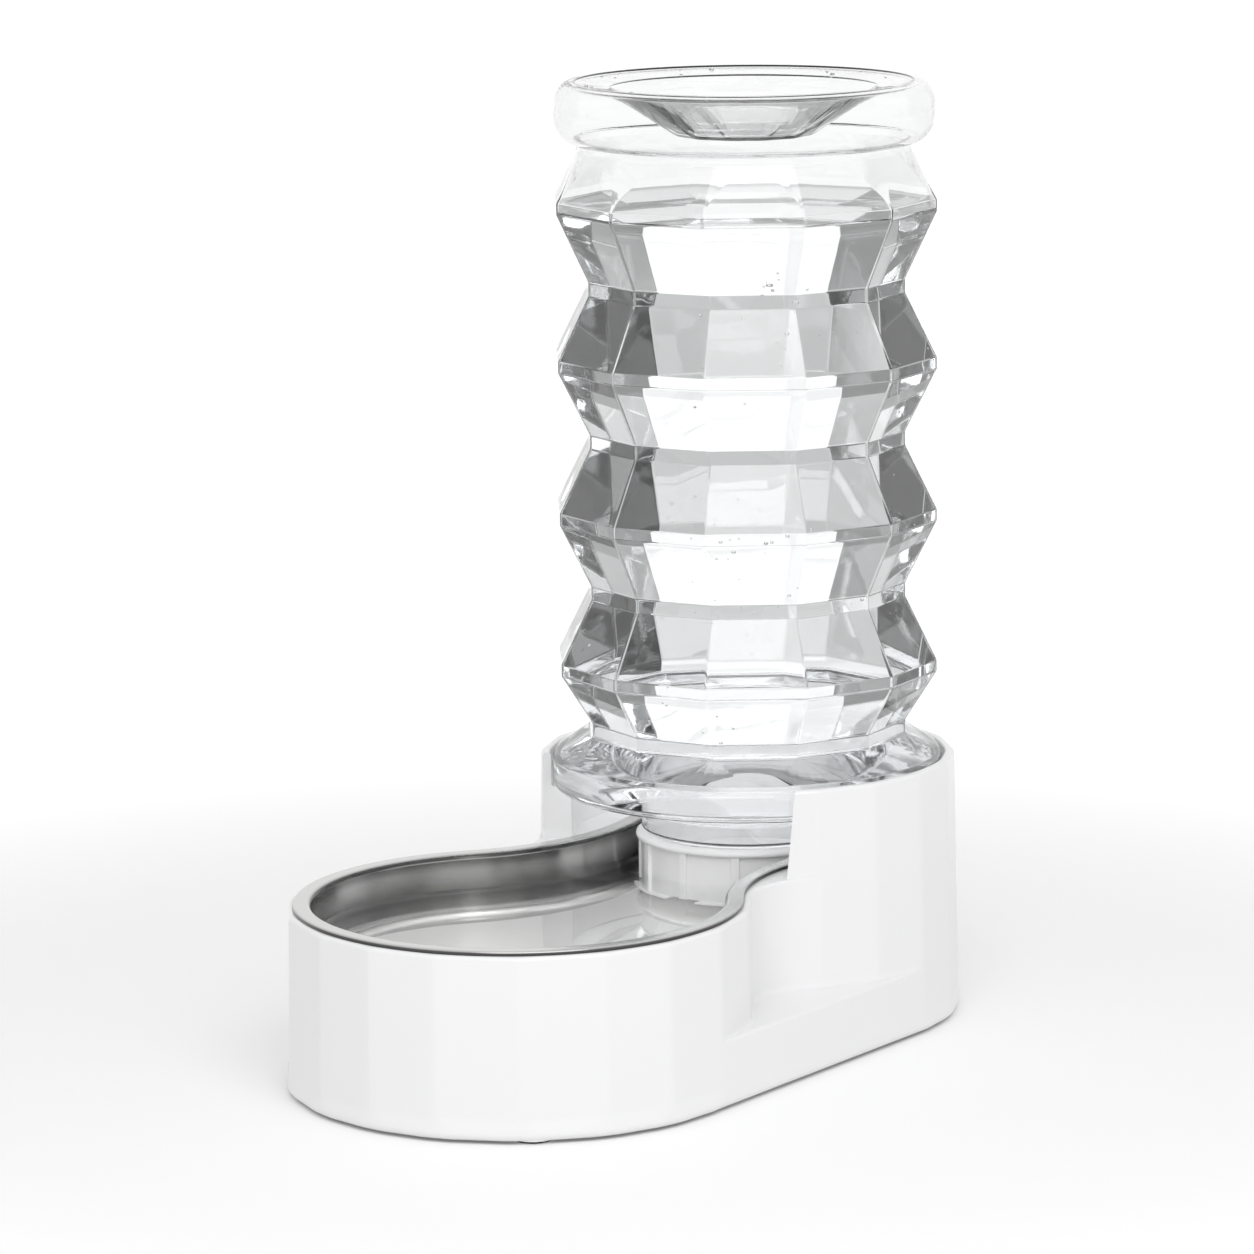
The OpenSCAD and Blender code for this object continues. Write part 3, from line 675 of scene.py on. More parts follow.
def flat_radius(radius, angle, corners):
    """Distance to a ring of flats that meet at some angles, both ways, with soft corners."""
    ring = sorted({-c for c in corners} | set(corners))
    near = []
    for a, b in zip(ring, ring[1:]):
        middle, half = (a + b) / 2, (b - a) / 2
        if abs(angle - middle) < 60:
            near.append(math.cos(math.radians(half)) / math.cos(math.radians(angle - middle)))
    a, b = sorted(near)[:2]
    return radius * (a + b) / 2 - math.hypot(radius * (a - b) / 2, FLAT_ROUND)


def sample_angles(corners, last):
    """Angles close to each corner on both sides, up to a last one."""
    near = (-4, -2.2, -1.1, -0.4, 0.4, 1.1, 2.2, 4)
    spread_out = sorted(c + d for c in corners for d in near if 0 < c + d <= last)
    return [0] + spread_out


def end_points(y, radius, angles, corners, share, way):
    """Points of one end of the shell: flats at share 0, a circle at share 1."""
    points = []
    for t in angles:
        r = flat_radius(radius, t, corners) * (1 - share) + radius * share
        points.append((r * math.sin(math.radians(t)), y - way * r * math.cos(math.radians(t))))
    return points


def shell_half(z, inset, hollow, share, bowl_inset=0):
    """Right half of the shell outline from the front to the back, with straight or hollow sides."""
    back = inset + SHELL_LEAN * z
    ra, rb, rn = BOWL_END_R - back - bowl_inset, TOWER_END_R - back, RECESS_R + back
    away, side = waist_middle(ra, rb, rn)
    a = 180 - math.degrees(math.atan2(side, away))
    b = math.degrees(math.atan2(side, REACH - away))
    bowl_angles = sample_angles(BOWL_CORNERS, BOWL_LAST)
    tower_angles = sample_angles(TOWER_CORNERS, TOWER_LAST)
    bowl = end_points(BOWL_Y, ra, bowl_angles, BOWL_CORNERS, share, 1)
    tower = end_points(TOWER_Y, rb, tower_angles, TOWER_CORNERS, share, -1)[::-1]
    steps = 22
    turns = [math.radians(a + (b - a) * i / steps) for i in range(steps + 1)]
    middle = [(side - rn * math.sin(t), BOWL_Y + away + rn * math.cos(t)) for t in turns]
    upper = bowl + middle + tower
    first = sum(t < BOWL_CORNERS[LEDGE_CORNER] for t in bowl_angles) - 1
    last = len(upper) - sum(t < TOWER_CORNERS[LEDGE_CORNER] for t in tower_angles)
    start, end = Vector(upper[first]), Vector(upper[last])
    lower = [start.lerp(end, (i - first) / (last - first)) if first < i < last else Vector(p)
             for i, p in enumerate(upper)]
    return [low.lerp(Vector(high), hollow) for low, high in zip(lower, upper)]


def shell_ring(z, inset, hollow, share, bowl_inset=0):
    half = shell_half(z, inset, hollow, share, bowl_inset)
    return [(x, y, z) for x, y in half] + [(-x, y, z) for x, y in half[-2:0:-1]]


def ledge_rings():
    """Rounded edge of the ledge and the fillet behind it, both fading out where the ledge ends."""
    outer = shell_ring(LEDGE_Z, 0, 0, 0)
    inner = shell_ring(LEDGE_Z, 0, 1, 0)
    edge, fillet = [[] for _ in quarter(4)], [[] for _ in quarter(4)]
    for low, high in zip(outer, inner):
        low, high = Vector(low), Vector(high)
        width = (high - low).length
        way = (high - low) / width if width > 0.001 else Vector((0, 0, 0))
        for k, t in enumerate(quarter(4)):
            r = min(LEDGE_ROUND, 0.35 * width)
            point = low + way * r * (1 - math.cos(t)) + Vector((0, 0, r * (math.sin(t) - 1)))
            edge[k].append(tuple(point))
            r = min(LEDGE_FILLET, 0.4 * width)
            point = high - way * r * (1 - math.sin(t)) + Vector((0, 0, r * (1 - math.cos(t))))
            fillet[k].append(tuple(point))
    return edge + fillet


def shell_body():
    """Outside of the shell up to the deck."""
    rings = [shell_ring(SOLE_Z + SOLE_ROUND * (1 - math.cos(t)), SOLE_ROUND * (1 - math.sin(t)), 0, 1)
             for t in quarter(6)]
    for i in range(1, 5):
        share = (1 + math.cos(math.pi * i / 4)) / 2
        rings.append(shell_ring(SOLE_Z + SOLE_ROUND * (1 + i / 2), 0, 0, share))
    rings += [shell_ring(LEDGE_Z - LEDGE_ROUND - 0.6, 0, 0, 0)] + ledge_rings()
    rings.append(shell_ring(LEDGE_Z + LEDGE_FILLET + 0.6, 0, 1, 0))
    for t in quarter(6):
        z = DECK_Z - RIM_ROUND * (1 - math.sin(t))
        rings.append(shell_ring(z, 0, 1, 0, RIM_ROUND * (1 - math.cos(t))))
    return rings


def closed_loft(name, rings):
    """Solid through rings with one flat face at each end."""
    points = [p for ring in rings for p in ring]
    faces = bands(len(rings[0]), len(rings)) + end_faces(len(rings[0]), len(points))
    return solid(name, mesh_from(name, points, faces))


def tower_profile(angle):
    """Section of the tower ring: flat outside, round bore, seat and a root sunk into the deck."""
    top_r, deck_r = (flat_radius(TOWER_END_R - SHELL_LEAN * z, abs(180 - angle), TOWER_ALL_CORNERS)
                     for z in (TOWER_Z, DECK_Z))
    turns = quarter(5)
    rim = [(top_r - RIM_ROUND * (1 - math.cos(t)), TOWER_Z - RIM_ROUND * (1 - math.sin(t)))
           for t in turns]
    inner = [(BORE_R + 1 - math.sin(t), TOWER_Z - 1 + math.cos(t)) for t in turns]
    seat = [(BORE_R, SEAT_Z + SEAT_ROUND), (BORE_R - SEAT_ROUND, SEAT_Z)]
    seat += [(SEAT_R + SEAT_ROUND - SEAT_ROUND * math.sin(t),
              SEAT_Z - SEAT_ROUND + SEAT_ROUND * math.cos(t)) for t in turns[::2]]
    low = DECK_Z - SHELL_T + ROOT_LIFT
    return rim + inner + seat + [(SEAT_R, low), (deck_r - 1, low), (deck_r, DECK_Z)]


def tower_solid():
    """Tower above the deck, with its front cut open by a wedge that widens upwards."""
    half = sample_angles(TOWER_ALL_CORNERS, 178)
    angles = [180 - t for t in half] + [180 + t for t in half[:0:-1]]
    points, faces = ring_of_profile(tower_profile, sorted(t % 360 for t in angles))
    tower = solid("tower", mesh_from("tower", points, faces))
    wedge = []
    way = directions(OPENING_TURN)[0]
    levels = ((DECK_Z - 12, OPENING_LOW), (DECK_Z, OPENING_LOW), (TOWER_Z + 3, OPENING_HIGH))
    for z, angle in levels:
        edge = directions(angle)[0] * (TOWER_END_R - 1.5)
        near, far = edge - way * 45, edge + way * 60
        corners = ((1, near), (1, far), (-1, far), (-1, near))
        wedge.append([(side * p.x, TOWER_Y + p.y, z) for side, p in corners])
    return combined(tower, closed_loft("wedge", wedge), "DIFFERENCE")


GUSSET_ANGLES = (70, 110, 145, 180, 215, 250, 290)
GUSSET_HALF = 0.8


def seat_pockets():
    """Pockets that hollow the seat from below, between the gussets."""
    ends = [OPENING_HIGH + 1.5, *GUSSET_ANGLES, 360 - OPENING_HIGH - 1.5]
    low, high = DECK_Z - SHELL_T - 3, SEAT_Z - SEAT_T
    section = [(SEAT_R + SEAT_T, low), (BORE_R, low), (BORE_R, high), (SEAT_R + SEAT_T, high)]
    parts = []
    for a, b in zip(ends, ends[1:]):
        first = a + (GUSSET_HALF if a in GUSSET_ANGLES else 0)
        last = b - (GUSSET_HALF if b in GUSSET_ANGLES else 0)
        angles = [first + (last - first) * i / 12 for i in range(13)]
        parts.append(ring_of_profile(lambda t: section, angles, closed=False))
    return several("pockets", parts)


FEET = [f"foot_{end}_{side}" for end in ("front", "rear") for side in ("left", "right")]
FOOT_PLACES = [((low.x + high.x) / 2, (low.y + high.y) / 2) for low, high in map(node_box, FEET)]
FOOT_R = 7.1
FOOT_TOP = 2.7
BOSS_R = 9
BOSS_TOP = 7.45
RIB_DROP = 24
RIB_HALF = 0.9
RIB_ANGLES = (-105, -75, -45, -15, 15, 45, 75, 105)


def deck_rib(angle):
    """Tapered rib under the deck at the bowl end, as (points, faces)."""
    out, side = directions(angle)
    near, far = FRONT_R + STEEL_T + 1.2, BOWL_END_R - SHELL_LEAN * DECK_Z - SHELL_T / 2
    top = DECK_Z - SHELL_T + 0.5
    low = top - RIB_DROP
    section = [(near, top), (near, top - 1.5), (far - 1, low), (far, low), (far, top)]
    points = []
    for half in (-RIB_HALF, RIB_HALF):
        for r, z in section:
            place = out * r + side * half
            points.append((place.x, BOWL_Y + place.y, z))
    return points, bands(len(section), 2) + end_faces(len(section), len(points))


def columns(name, radius, low, high):
    """Round columns at the places of the feet."""
    return several(name, [prism(circle(radius, x, y), low, high) for x, y in FOOT_PLACES])


def make_housing(material):
    shell = closed_loft("housing", shell_body())
    inside = [(-1, 0, 1), (SOLE_Z + SOLE_ROUND, 0, 1), (SOLE_Z + 3 * SOLE_ROUND, 0, 0),
              (LEDGE_Z - SHELL_T, 0, 0), (LEDGE_Z - SHELL_T + 0.05, 1, 0), (DECK_Z - SHELL_T, 1, 0)]
    cavity = [shell_ring(z, SHELL_T, hollow, share) for z, hollow, share in inside]
    combined(shell, closed_loft("cavity", cavity), "DIFFERENCE")
    well = [keyhole(STEEL_T + 0.8, z) for z in (DECK_Z - 2 * SHELL_T, DECK_Z + 2 * SHELL_T)]
    combined(shell, closed_loft("well", well), "DIFFERENCE")
    combined(shell, several("ribs", [deck_rib(a) for a in RIB_ANGLES]), "UNION")
    combined(shell, columns("bosses", BOSS_R, SOLE_Z, BOSS_TOP), "UNION")
    combined(shell, tower_solid(), "UNION")
    combined(shell, columns("sockets", FOOT_R, -1, FOOT_TOP), "DIFFERENCE")
    combined(shell, seat_pockets(), "DIFFERENCE")
    return finished("housing", shell, material, 32)


# Screw cap

CAP_T = 2.2
CAP_BORE_R = FINISH_R + 1.1
CAP_R = CAP_BORE_R + CAP_T
BEAD_H = 2.4
BEAD_OUT = 1.3
GRIP_RIBS = 12
GRIP_W = 3.5
GRIP_OUT = 0.8
DISC_T = 2.5
SKIRT_H = 4.5
RING_OUT = 2.4
RING_H = 2.5
PORTS = 6
PORT_W = 14
PORT_ROOF = 1.5
VALVE_HOLE_R = 14
GUIDE_BORE_R = 4.1
GUIDE_R = GUIDE_BORE_R + 2.6
GUIDE_LIFT = 4
WEB_T = 2.4
WEB_ANGLES = (0, 120, 240)
# Share of its radius by which the middle of a rounded edge stands in from the corner
ROUND_IN = 0.29


def revolved(section, count=128):
    """Closed shell from a closed section of (r, z) points turned round the tower axis."""
    return ring_of_profile(lambda t: section, [360 * i / count for i in range(count)])


def fillets(section, radius, steps=3):
    """A closed section with small curves at its corners.

    The points between the ends of a curve stand one millimetre from its middle, whatever its
    radius, so curves of less than about a millimetre bulge a little past their corner.
    """
    path = []
    for before, here, after in zip(section[-1:] + section, section, section[1:] + section[:1]):
        r = here[2] if len(here) > 2 else radius
        a, b = (Vector(p[:2]) - Vector(here[:2]) for p in (before, after))
        bend = math.pi - a.angle(b)
        if r <= 0 or bend < 0.05:
            path.append((here[0], here[1]))
            continue
        cut = min(r * math.tan(bend / 2), 0.45 * a.length, 0.45 * b.length)
        middle, start, end = arc_frame(Vector(here[:2]), a, b, bend, cut)
        for k in range(steps + 1):
            way = start.slerp(end, k / steps)
            path.append((middle.x + way.x, middle.y + way.y))
    return path


def box_at(angle, near, far, width, low, high, round_r):
    """Upright bar between two distances from the tower axis, with rounded long edges, as a shell."""
    out, side = directions(angle)
    half, cut = width / 2, ROUND_IN * round_r
    corners = [(near, -half), (far - round_r, -half), (far - cut, -half + cut), (far, -half + round_r),
               (far, half - round_r), (far - cut, half - cut), (far - round_r, half), (near, half)]
    outline = [out * r + side * w + Vector((0, TOWER_Y)) for r, w in corners]
    return prism([(p.x, p.y) for p in outline], low, high)


def make_cap(material):
    """Screw cap with its ports, webs and valve guide.

    Its skirt starts at the low end of the node's box, where the node has only its guide, so the
    skirt and the disc lie lower here than in the part's source.
    """
    skirt_z, top = CAP_LOW.z, CAP_HIGH.z
    ring_r, ring_z = CAP_R + RING_OUT, skirt_z + RING_H
    bead_r = CAP_R + BEAD_OUT
    disc_z, disc_top = skirt_z + SKIRT_H, skirt_z + SKIRT_H + DISC_T
    section = [(VALVE_HOLE_R, disc_z, 0.5), (CAP_BORE_R, disc_z, 0.8), (CAP_BORE_R, skirt_z, 0.4),
               (ring_r, skirt_z, 0.7), (ring_r, ring_z, 0.9), (CAP_R, ring_z, 0.5),
               (CAP_R, top - BEAD_H, 0.5), (bead_r, top - BEAD_H * 0.72, 0.7),
               (bead_r, top - BEAD_H * 0.25, 0.7), (CAP_R - 0.3, top, 0.5), (CAP_BORE_R, top, 0.4),
               (CAP_BORE_R, disc_top, 0.5), (VALVE_HOLE_R, disc_top, 0.5)]
    cap = several("cap", [revolved(fillets(section, 0.4))])
    step = 360 / GRIP_RIBS
    bars = [box_at(90 + i * step, CAP_BORE_R + CAP_T / 2, CAP_R + GRIP_OUT, GRIP_W,
                   skirt_z + RING_H / 2, top - BEAD_H / 2, 0.4) for i in range(GRIP_RIBS)]
    combined(cap, several("bars", bars), "UNION")
    ports = [box_at(90 + (i + 0.5) * 360 / PORTS, CAP_BORE_R - 2, CAP_R + RING_OUT + 3, PORT_W,
                    skirt_z - 1, disc_z - PORT_ROOF, 0.1) for i in range(PORTS)]
    combined(cap, several("ports", ports), "DIFFERENCE")
    guide_low = node_box("valve_foot")[1].z + GUIDE_LIFT
    tube = [(GUIDE_BORE_R, guide_low, 0.3), (GUIDE_R, guide_low, 0.4),
            (GUIDE_R, disc_top, 0.4), (GUIDE_BORE_R, disc_top, 0.3)]
    webs = [box_at(a, GUIDE_BORE_R + 1.3, VALVE_HOLE_R + 0.6, WEB_T, disc_z + 0.3, disc_top - 0.3, 0.1)
            for a in WEB_ANGLES]
    combined(cap, several("webs", webs), "UNION")
    combined(cap, several("tube", [revolved(fillets(tube, 0.3), 64)]), "UNION")
    return finished("cap", cap, material, 38)


# Valve spring

SPRING_LOW, SPRING_HIGH = (corner.z for corner in node_box("valve_spring"))
SPRING_WIRE = 1
SPRING_TURNS = 6
SPRING_CLEAR = 0.6


def make_spring(material):
    """Coil spring with closed end turns."""
    per_turn, sides = 30, 10
    low, rise = SPRING_LOW + SPRING_WIRE / 2, SPRING_HIGH - SPRING_LOW - SPRING_WIRE
    coil_r = GUIDE_R + SPRING_CLEAR + SPRING_WIRE / 2
    closed = 1.06 * SPRING_WIRE / rise
    rings = []
    for k in range(SPRING_TURNS * per_turn + 1):
        turn = k / per_turn
        middle = min(max((turn - 1) / (SPRING_TURNS - 2), 0), 1)
        share = closed * min(turn, 1) + (1 - 2 * closed) * middle
        share += closed * max(turn - SPRING_TURNS + 1, 0)
        a, z = 2 * math.pi * turn, low + rise * share
        ring = []
        for j in range(sides):
            t = -2 * math.pi * j / sides
            r = coil_r + SPRING_WIRE / 2 * math.cos(t)
            ring.append((r * math.cos(a), TOWER_Y + r * math.sin(a), z + SPRING_WIRE / 2 * math.sin(t)))
        rings.append(ring)
    return link("spring", loft("spring", rings, False), material)


# Materials

def new_material(name):
    material = bpy.data.materials.new(name)
    material.use_nodes = True
    tree = material.node_tree
    return material, tree, tree.nodes["Principled BSDF"]


def set_sockets(shader, values):
    for socket, value in values.items():
        shader.inputs[socket].default_value = value


def put(tree, socket, value):
    """Sets an input to a number or colour, or links it to another node's output."""
    if isinstance(value, bpy.types.NodeSocket):
        tree.links.new(value, socket)
    else:
        socket.default_value = value


def add(tree, kind, **settings):
    """A shader node with inputs, by name, and other properties."""
    node = tree.nodes.new("ShaderNode" + kind)
    for key, value in settings.items():
        if key in node.inputs:
            put(tree, node.inputs[key], value)
        else:
            setattr(node, key, value)
    return node


def place_of(tree, kind="Object"):
    return add(tree, "TexCoord").outputs[kind]


def object_noise(tree, scale, detail=3, stretch=(1, 1, 1)):
    """Noise in object space, with its scale in waves per metre."""
    mapping = add(tree, "Mapping", Scale=stretch, Vector=place_of(tree))
    noise = add(tree, "TexNoise", Scale=scale, Detail=detail, Vector=mapping.outputs["Vector"])
    return noise.outputs["Fac"]


def ranged(tree, value, start, end, low, high, ends="LINEAR"):
    """A value mapped from one span to another, with sharp or soft ends."""
    node = add(tree, "MapRange", interpolation_type=ends, Value=value)
    set_sockets(node, {"From Min": start, "From Max": end, "To Min": low, "To Max": high})
    return node.outputs["Result"]


def softly(tree, value, *spans):
    return ranged(tree, value, *spans, ends="SMOOTHSTEP")


def spread(tree, value, low, high):
    """A noise value mapped to a range."""
    return ranged(tree, value, 0.3, 0.7, low, high)


def add_bump(tree, shader, height, strength, distance):
    bump = add(tree, "Bump", Strength=strength, Distance=distance, Height=height)
    tree.links.new(bump.outputs["Normal"], shader.inputs["Normal"])


def tint(tree, shader, value, low, high):
    """Varies the base colour between two colours by a value."""
    mix = add(tree, "Mix", data_type="RGBA")
    for socket in mix.inputs:
        if socket.type == "RGBA" and socket.name in "AB":
            socket.default_value = (*(low if socket.name == "A" else high), 1)
    factor = next(s for s in mix.inputs if s.name == "Factor" and s.type == "VALUE")
    result = next(s for s in mix.outputs if s.type == "RGBA")
    tree.links.new(value, factor)
    tree.links.new(result, shader.inputs["Base Color"])


# Looks of the plain materials: sockets, tint, roughness and bump. The tint has a noise scale and
# two colours, the roughness a noise scale and a range, the bump a noise scale and a strength.
PLAIN_LOOKS = {
    "shell_white": ({"IOR": 1.5, "Coat Weight": 0.3, "Coat Roughness": 0.06},
                    (14, (0.872, 0.872, 0.88), (0.885, 0.885, 0.89)), (25, 0.3, 0.34), None),
    "cap_white": ({"IOR": 1.49}, (60, (0.92, 0.92, 0.925), (0.95, 0.95, 0.955)),
                  (90, 0.3, 0.4), None),
    "silicone": ({"IOR": 1.43}, (150, (0.62, 0.63, 0.64), (0.7, 0.7, 0.71)), (200, 0.45, 0.6), None),
    "spring_steel": ({"Metallic": 1.0}, (400, (0.62, 0.62, 0.63), (0.72, 0.72, 0.73)),
                     (700, 0.14, 0.24), None),
    "valve_plastic": ({}, (90, (0.8, 0.8, 0.8), (0.85, 0.85, 0.85)), (120, 0.4, 0.55), (1200, 0.1)),
    "black_rubber": ({}, (120, (0.018, 0.018, 0.019), (0.035, 0.035, 0.036)), (300, 0.6, 0.8),
                     (1800, 0.3)),
}
GRAIN_DEPTH = 0.0002


def plain_material(name, sockets, colour, roughness, grain):
    material, tree, shader = new_material(name)
    set_sockets(shader, sockets)
    scale, low, high = colour
    tint(tree, shader, object_noise(tree, scale), low, high)
    scale, low, high = roughness
    tree.links.new(spread(tree, object_noise(tree, scale), low, high), shader.inputs["Roughness"])
    if grain:
        scale, strength = grain
        add_bump(tree, shader, object_noise(tree, scale), strength, GRAIN_DEPTH)
    return material


# Painted light and shade of the steel by height in metres, over the floor, wall, draw radius and
# flange: a pale floor, a painted highlight on the floor's fillet, a dark painted reflection band low on
# the wall, lighter painted bands above it and a painted shadow line at the flange's lip
PAINTED_STEEL_BANDS = ((0.0215, 0.92), (0.0250, 0.95), (0.0300, 0.55), (0.0350, 0.10), (0.0500, 0.09),
                (0.0580, 0.24), (0.0660, 0.58), (0.0700, 0.34), (0.0703, 0.08), (0.0712, 0.08),
                (0.0718, 0.60))
STEEL_SPAN = (0.0, 0.08)
# Heights between which the steel turns from the paler look of the floor, which is partly diffuse and
# has painted light in its colour, to bare metal
BARE_SPAN = (0.0222, 0.0300)


def satin_steel_with_painted_bands():
    material, tree, shader = new_material("steel")
    height = add(tree, "SeparateXYZ", Vector=place_of(tree)).outputs["Z"]
    # The ramp paints reflections, highlights and shade into the base colour by height.
    ramp = add(tree, "ValToRGB", Fac=ranged(tree, height, *STEEL_SPAN, 0, 1))
    ramp.color_ramp.interpolation = "EASE"
    stops = ramp.color_ramp.elements
    while len(stops) < len(PAINTED_STEEL_BANDS):
        stops.new(0.5)
    for stop, (z, shade) in zip(stops, PAINTED_STEEL_BANDS):
        stop.position = (z - STEEL_SPAN[0]) / (STEEL_SPAN[1] - STEEL_SPAN[0])
        stop.color = (shade, shade * 0.995, shade * 0.985, 1)
    tree.links.new(ramp.outputs["Color"], shader.inputs["Base Color"])
    tree.links.new(ranged(tree, height, *BARE_SPAN, 0.45, 1), shader.inputs["Metallic"])
    lines = object_noise(tree, 900, 2, (0.08, 0.08, 3))
    smears = object_noise(tree, 60, 4, (1, 1, 5))
    tree.links.new(spread(tree, smears, 0.16, 0.22), shader.inputs["Roughness"])
    add_bump(tree, shader, lines, 0.03, 0.0001)
    return material


def clear_plastic():
    material, tree, shader = new_material("clear_bottle")
    set_sockets(shader, {"Base Color": (0.996, 0.999, 1.0, 1), "Roughness": 0.0,
                         "IOR": 1.5, "Transmission Weight": 1.0})
    add_bump(tree, shader, object_noise(tree, 30), 0.05, 0.002)
    return material


def water():
    material, tree, shader = new_material("water")
    set_sockets(shader, {"Base Color": (0.988, 0.995, 1.0, 1), "Roughness": 0.0,
                         "IOR": 1.333, "Transmission Weight": 1.0})
    return material


CLEAR = clear_plastic()
WATER = water()
STEEL = satin_steel_with_painted_bands()
PLAIN = {name: plain_material(name, *looks) for name, looks in PLAIN_LOOKS.items()}
NODE_MATERIALS = {
    "base_housing": PLAIN["shell_white"],
    "steel_bowl": STEEL,
    "water_bottle": CLEAR,
    "valve_cap": PLAIN["cap_white"],
    "cap_gasket": PLAIN["silicone"],
    "valve_spring": PLAIN["spring_steel"],
    "valve_stem": PLAIN["valve_plastic"],
    "valve_foot": PLAIN["valve_plastic"],
    "valve_washer": PLAIN["black_rubber"],
    **{foot: PLAIN["black_rubber"] for foot in FEET},
}


# Carried-over nodes: merged corners, small bevels and even shading

BEVELS = {"valve_stem": 0.25, "valve_foot": 0.25, "valve_washer": 0.25, "cap_gasket": 0.2}
BEVEL_ANGLE = math.radians(25)
FLAT_ANGLE = math.radians(0.6)
WELD = 0.00001

for name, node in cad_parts.items():
    node.data.materials.clear()
    node.data.materials.append(NODE_MATERIALS[name])
    weld = node.modifiers.new("weld", "WELD")
    weld.merge_threshold = WELD
    if name in BEVELS:
        flatten = node.modifiers.new("flatten", "DECIMATE")
        flatten.decimate_type = "DISSOLVE"
        flatten.angle_limit = FLAT_ANGLE
        bevel = node.modifiers.new("bevel", "BEVEL")
        bevel.width = BEVELS[name] * MM
        bevel.segments = 3
        bevel.limit_method = "ANGLE"
        bevel.angle_limit = BEVEL_ANGLE
    weigh_normals(node)


# Pieces

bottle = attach(make_bottle(CLEAR), BODY)
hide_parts("water_bottle")

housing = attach(make_housing(NODE_MATERIALS["base_housing"]), BODY)
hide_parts("base_housing")

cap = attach(make_cap(NODE_MATERIALS["valve_cap"]), BODY)
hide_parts("valve_cap")

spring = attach(make_spring(NODE_MATERIALS["valve_spring"]), BODY)
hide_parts("valve_spring")
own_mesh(spring)

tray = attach(make_tray(STEEL), BODY)
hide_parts("steel_bowl")

bottle_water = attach(make_bottle_water(WATER), BODY)
tray_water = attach(make_tray_water(WATER), BODY)
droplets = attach(make_droplets(WATER), BODY)
for clear in (bottle, bottle_water, tray_water, droplets):
    clear.visible_shadow = False


# Studio: floor, world and lamps

WHITE = (1, 1, 1, 1)
SECTOR = 72
DARK_EDGE = 0.16
WHITE_EDGE = 0.05
SECTOR_DARK = 0.26
# Heights, as parts of a direction, between which the world's sectors give way to an even sky
SKY_SPAN = (0.2, 0.36)
SKY_SHARE = 0.92
AMBIENT = 0.68
SURFACE_DIM = 0.32
# Counts of the walls and surfaces that a ray has passed through
WATER_DEPTH = 4.5
TRAY_DEPTH = 2.5
TOP_DEPTH = 4
FLOOR_SIZE = 6000
# Distances on the floor in metres, with the floor's glow or its share of white at each end. The glow is
# weaker near the object, which paints the floor darker round it; the ring is a painted grey shade on
# the floor, seen only through glass and water.
GLOW_FADE = (0.25, 0.8, 0.11, 0.45)
PAINTED_RING_NEAR = (0.3, 0.6, 1, 0.55)
PAINTED_RING_FAR = (1.7, 3.2, 0.55, 1)


def math_node(tree, operation, *values):
    """Output of a math node whose inputs are numbers or sockets."""
    node = add(tree, "Math", operation=operation)
    for socket, value in zip(node.inputs, values):
        put(tree, socket, value)
    return node.outputs[0]


def sector_share(tree, split, dark):
    """Share of white at a direction: bright sectors round the object with darker ones between."""
    angle = math_node(tree, "ARCTAN2", split.outputs["X"], split.outputs["Y"])
    turn = math_node(tree, "ADD", angle, math.radians(VIEW_AZIMUTH))
    wave = math_node(tree, "COSINE", math_node(tree, "MULTIPLY", turn, 360 / SECTOR))
    return softly(tree, wave, WHITE_EDGE - DARK_EDGE, WHITE_EDGE + DARK_EDGE, dark, 1)


def first_hand(tree, path):
    """One for rays that no diffuse surface has scattered."""
    return math_node(tree, "LESS_THAN", path.outputs["Diffuse Depth"], 0.5)


def past_water(tree, path):
    """One for rays that have crossed the water, or that have bounced twice between mirroring walls."""
    depth, mirrors = path.outputs["Transmission Depth"], path.outputs["Glossy Depth"]
    deep = math_node(tree, "GREATER_THAN", depth, WATER_DEPTH)
    shallow = math_node(tree, "LESS_THAN", depth, TRAY_DEPTH)
    twice = math_node(tree, "GREATER_THAN", mirrors, 1.5)
    seen = math_node(tree, "MAXIMUM", deep, math_node(tree, "MULTIPLY", shallow, twice))
    return math_node(tree, "MULTIPLY", seen, first_hand(tree, path))


def off_surface(tree, path):
    """One for rays mirrored by the water surface inside the empty top of the bottle."""
    depth = path.outputs["Transmission Depth"]
    through = math_node(tree, "MULTIPLY", math_node(tree, "GREATER_THAN", depth, TOP_DEPTH - 0.5),
                        math_node(tree, "LESS_THAN", depth, TOP_DEPTH + 0.5))
    mirrored = math_node(tree, "GREATER_THAN", path.outputs["Glossy Depth"], 0.5)
    both = math_node(tree, "MULTIPLY", through, mirrored)
    return math_node(tree, "MULTIPLY", both, first_hand(tree, path))


def dimmed_past_water(tree, path, share):
    """Strength of one, or of a share for rays that have crossed the water."""
    less = math_node(tree, "SUBTRACT", share, 1)
    return math_node(tree, "ADD", 1, math_node(tree, "MULTIPLY", past_water(tree, path), less))


def make_world():
    world = bpy.data.worlds.new("studio")
    world.use_nodes = True
    bpy.context.scene.world = world
    tree = world.node_tree
    tree.nodes.clear()
    split = add(tree, "SeparateXYZ", Vector=place_of(tree, "Generated"))
    path = add(tree, "LightPath")
    sky = softly(tree, split.outputs["Z"], *SKY_SPAN, 0, SKY_SHARE)
    share = math_node(tree, "MAXIMUM", sector_share(tree, split, SECTOR_DARK), sky)
    seen = dimmed_past_water(tree, path, share)
    spared = math_node(tree, "MULTIPLY", path.outputs["Is Diffuse Ray"], 1 - AMBIENT)
    plain = math_node(tree, "SUBTRACT", seen, spared)
    dimmed = math_node(tree, "MULTIPLY", off_surface(tree, path), SURFACE_DIM)
    strength = math_node(tree, "SUBTRACT", plain, dimmed)
    light = add(tree, "Background", Color=WHITE, Strength=strength)
    add(tree, "OutputWorld", Surface=light.outputs[0])


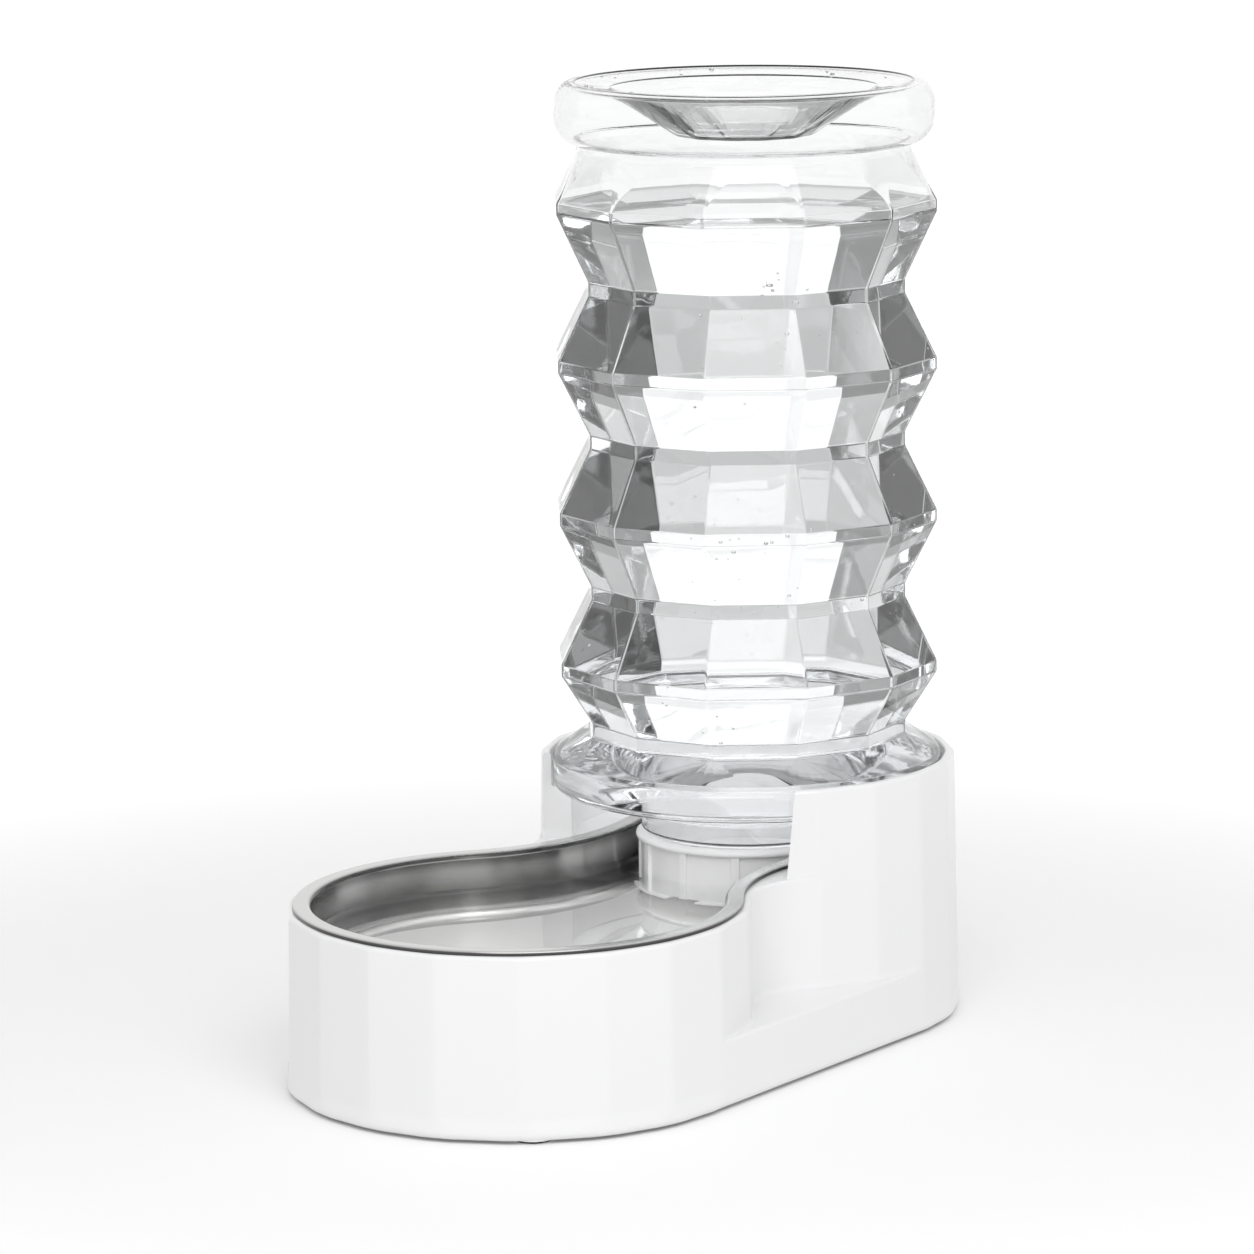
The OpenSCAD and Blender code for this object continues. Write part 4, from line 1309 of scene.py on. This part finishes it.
def make_floor():
    corners = [(x * FLOOR_SIZE, y * FLOOR_SIZE, 0) for x, y in ((-1, -1), (1, -1), (1, 1), (-1, 1))]
    material = bpy.data.materials.new("floor")
    material.use_nodes = True
    tree = material.node_tree
    tree.nodes.clear()
    path = add(tree, "LightPath")
    place = place_of(tree)
    split = add(tree, "SeparateXYZ", Vector=place)
    away = add(tree, "VectorMath", operation="LENGTH", Vector=place).outputs["Value"]
    diffuse = add(tree, "BsdfDiffuse", Color=(0.9, 0.9, 0.9, 1))
    seen = math_node(tree, "MAXIMUM", path.outputs["Is Camera Ray"], path.outputs["Is Glossy Ray"])
    # The glow fades towards the object, which paints the floor darker round it.
    glowing = math_node(tree, "MULTIPLY", seen, softly(tree, away, *GLOW_FADE))
    glow = add(tree, "Emission", Color=WHITE, Strength=glowing)
    shown = add(tree, "AddShader")
    tree.links.new(diffuse.outputs[0], shown.inputs[0])
    tree.links.new(glow.outputs[0], shown.inputs[1])
    # Painted shade: a grey ring and black sectors between white ones, shown as the floor's glow only to
    # rays through glass and water, standing in for shade and dark surroundings seen through the bottle.
    ring = math_node(tree, "MAXIMUM", softly(tree, away, *PAINTED_RING_NEAR), softly(tree, away, *PAINTED_RING_FAR))
    share = math_node(tree, "MULTIPLY", sector_share(tree, split, 0.0), ring)
    strength = dimmed_past_water(tree, path, share)
    through = add(tree, "Emission", Color=WHITE, Strength=strength)
    final = add(tree, "MixShader", Fac=path.outputs["Is Transmission Ray"])
    tree.links.new(shown.outputs[0], final.inputs[1])
    tree.links.new(through.outputs[0], final.inputs[2])
    add(tree, "OutputMaterial", Surface=final.outputs[0])
    floor = link("floor", mesh_from("floor", corners, [(0, 1, 2, 3)], False), material)


# Height in metres of the point that the lamp faces
LAMP_AIM = 0.15


def area_lamp(name, azimuth, elevation, distance, size, power):
    """Square soft lamp that faces the object, at an azimuth from the photograph's view."""
    a, e = math.radians(VIEW_AZIMUTH + azimuth), math.radians(elevation)
    away = Vector((math.sin(a) * math.cos(e), -math.cos(a) * math.cos(e), math.sin(e)))
    data = bpy.data.lights.new(name, "AREA")
    data.shape = "SQUARE"
    data.size = size
    data.energy = power
    lamp = solid(name, data)
    lamp.location = away * distance + Vector((0, 0, LAMP_AIM))
    lamp.rotation_euler = away.to_track_quat("Z", "Y").to_euler()


make_world()
make_floor()
area_lamp("key", 8, 38, 1.6, 1.3, 11)

scene = bpy.context.scene
scene.view_settings.view_transform = "Standard"
scene.cycles.max_bounces = 24
scene.cycles.transmission_bounces = 22
scene.cycles.glossy_bounces = 6
scene.cycles.diffuse_bounces = 4
scene.cycles.transparent_max_bounces = 12
scene.cycles.sample_clamp_indirect = 2
scene.cycles.use_denoising = True
